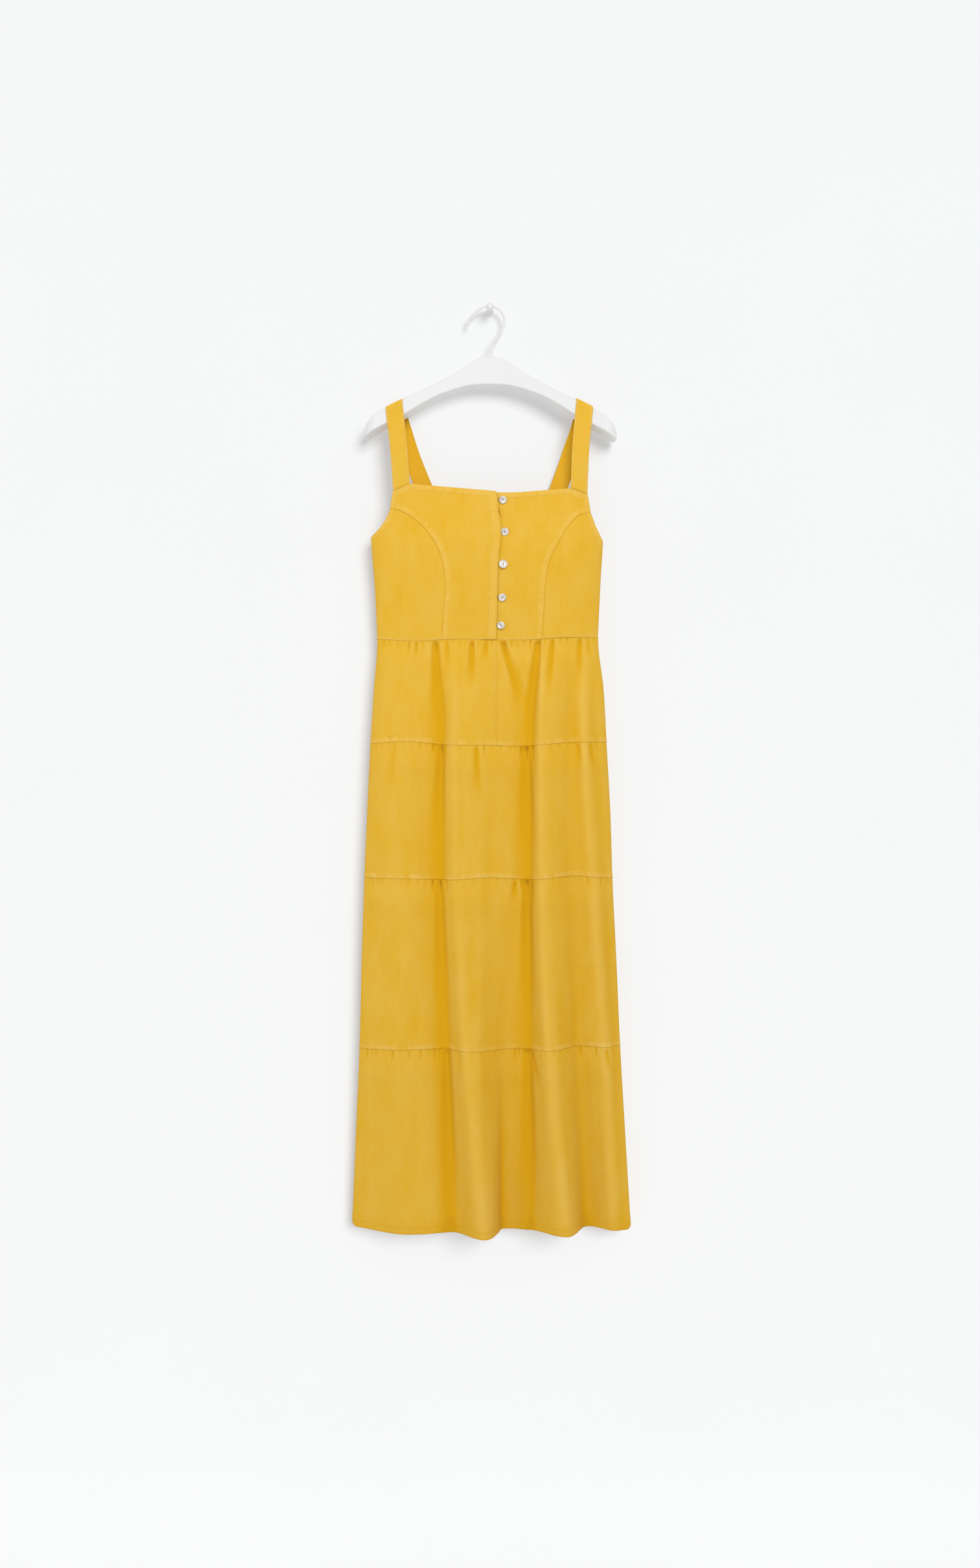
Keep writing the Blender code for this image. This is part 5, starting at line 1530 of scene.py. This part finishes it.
# %% Wall and floor
WALL_DEPTH = 0.6
WALL_TOP = 3500.0
WALL_HALF_WIDTH = 6000.0
FLOOR_DROP = 2250.0
FLOOR_REACH = 7000.0
SWEEP = 400.0
WALL_GLOW = 0.38
bm = bmesh.new()
profile = [(WALL_DEPTH, WALL_TOP), (WALL_DEPTH, SWEEP - FLOOR_DROP)]
for turn in np.linspace(0, math.pi / 2, 13)[1:]:
    profile.append((WALL_DEPTH - SWEEP * (1 - math.cos(turn)), -FLOOR_DROP + SWEEP * (1 - math.sin(turn))))
profile.append((-FLOOR_REACH, -FLOOR_DROP))
verts = [bm.verts.new((-WALL_HALF_WIDTH, y, z)) for y, z in profile]
edges = [bm.edges.new(pair) for pair in zip(verts, verts[1:])]
made = bmesh.ops.extrude_edge_only(bm, edges=edges)
moved = [item for item in made["geom"] if isinstance(item, bmesh.types.BMVert)]
bmesh.ops.translate(bm, verts=moved, vec=(2 * WALL_HALF_WIDTH, 0.0, 0.0))
bmesh.ops.scale(bm, vec=(MM, MM, MM), verts=bm.verts)
bmesh.ops.recalc_face_normals(bm, faces=bm.faces)
if sum(face.normal.z - face.normal.y for face in bm.faces) < 0:
    bmesh.ops.reverse_faces(bm, faces=bm.faces)
mesh = bpy.data.meshes.new("wall_and_floor")
bm.to_mesh(mesh)
bm.free()
mesh.shade_smooth()
stage = add("wall_and_floor", mesh)
stage.visible_shadow = False

paint = Finish("pale_wall", Roughness=0.95, Specular_IOR_Level=0.0, Emission_Color=(1, 1, 1, 1),
               Emission_Strength=WALL_GLOW)
mottle = paint.noise(paint.node("TexCoord", output=3), (3, 3, 3), 3)
paint.set(Base_Color=paint.mix(mottle, (0.296, 0.299, 0.302, 1), (0.304, 0.307, 0.31, 1)))
clear = paint.node("BsdfTransparent")
behind = paint.node("NewGeometry", output=6)
front = Socket(paint, paint.shader.outputs[0])
seen = paint.node("MixShader", {}, {0: behind, 1: front, 2: clear})
paint.put(paint.tree.nodes["Material Output"].inputs["Surface"], seen)
mesh.materials.append(paint.material)
print("wall and floor faces:", len(mesh.polygons))

# %% Light
SKY_COLOUR = (0.98, 0.985, 0.99, 1)
SKY_STRENGTH = 0.61


def light(kind, name, energy, size, place, target, receivers=None):
    """A light that points from a place to a target, and shines on the receivers only, if there are any."""
    data = bpy.data.lights.new(name, kind)
    data.energy = energy
    setattr(data, "angle" if kind == "SUN" else "size", size)
    lamp = add(name, data)
    lamp.location = place
    lamp.rotation_euler = (Vector(target) - Vector(place)).to_track_quat("-Z", "Y").to_euler()
    if receivers is not None:
        lit = bpy.data.collections.new("lit_by_" + name)
        for receiver in receivers:
            lit.objects.link(receiver)
        lamp.light_linking.receiver_collection = lit


everything_hung = [item for item in bpy.context.scene.objects if item.type == "MESH" and item != stage]
light("SUN", "key", 1.2, math.radians(30), (0.12, -1.0, 0.42), (0, 0, 0), everything_hung)
light("SUN", "wall_key", 4.3, math.radians(32), (0.45, -1.0, 0.42), (0, 0, 0), [stage])
light("AREA", "top_soft_box", 5.9, 0.7, (0.3, -1.15, 0.35), (0, 0, -0.5), pieces.values())
light("AREA", "side_soft_box", 5.0, 1.0, (-1.5, -0.8, -0.45), (0, 0, -0.6), pieces.values())
light("AREA", "back_soft_box", 26.0, 1.6, (-0.5, 2.2, 0.4), (0, 0, -0.8))

world = bpy.data.worlds.new("studio")
world.use_nodes = True
sky = world.node_tree.nodes["Background"].inputs
sky["Color"].default_value = SKY_COLOUR
sky["Strength"].default_value = SKY_STRENGTH
bpy.context.scene.world = world
bpy.context.scene.view_settings.view_transform = "Standard"
bpy.context.scene.view_settings.look = "None"
print("lights:", len(bpy.data.lights))

# %% Camera
camera_data = bpy.data.cameras.new("camera")
camera_data.sensor_width = 36.0
camera_data.lens = 28.07
camera_data.clip_start = 0.05
camera_data.clip_end = 60.0
camera = add("camera", camera_data)
camera.location = (0.0, -2.027, -0.782)
camera.rotation_euler = (math.pi / 2, 0.0, 0.0)
bpy.context.scene.camera = camera
print("camera at", tuple(camera.location))
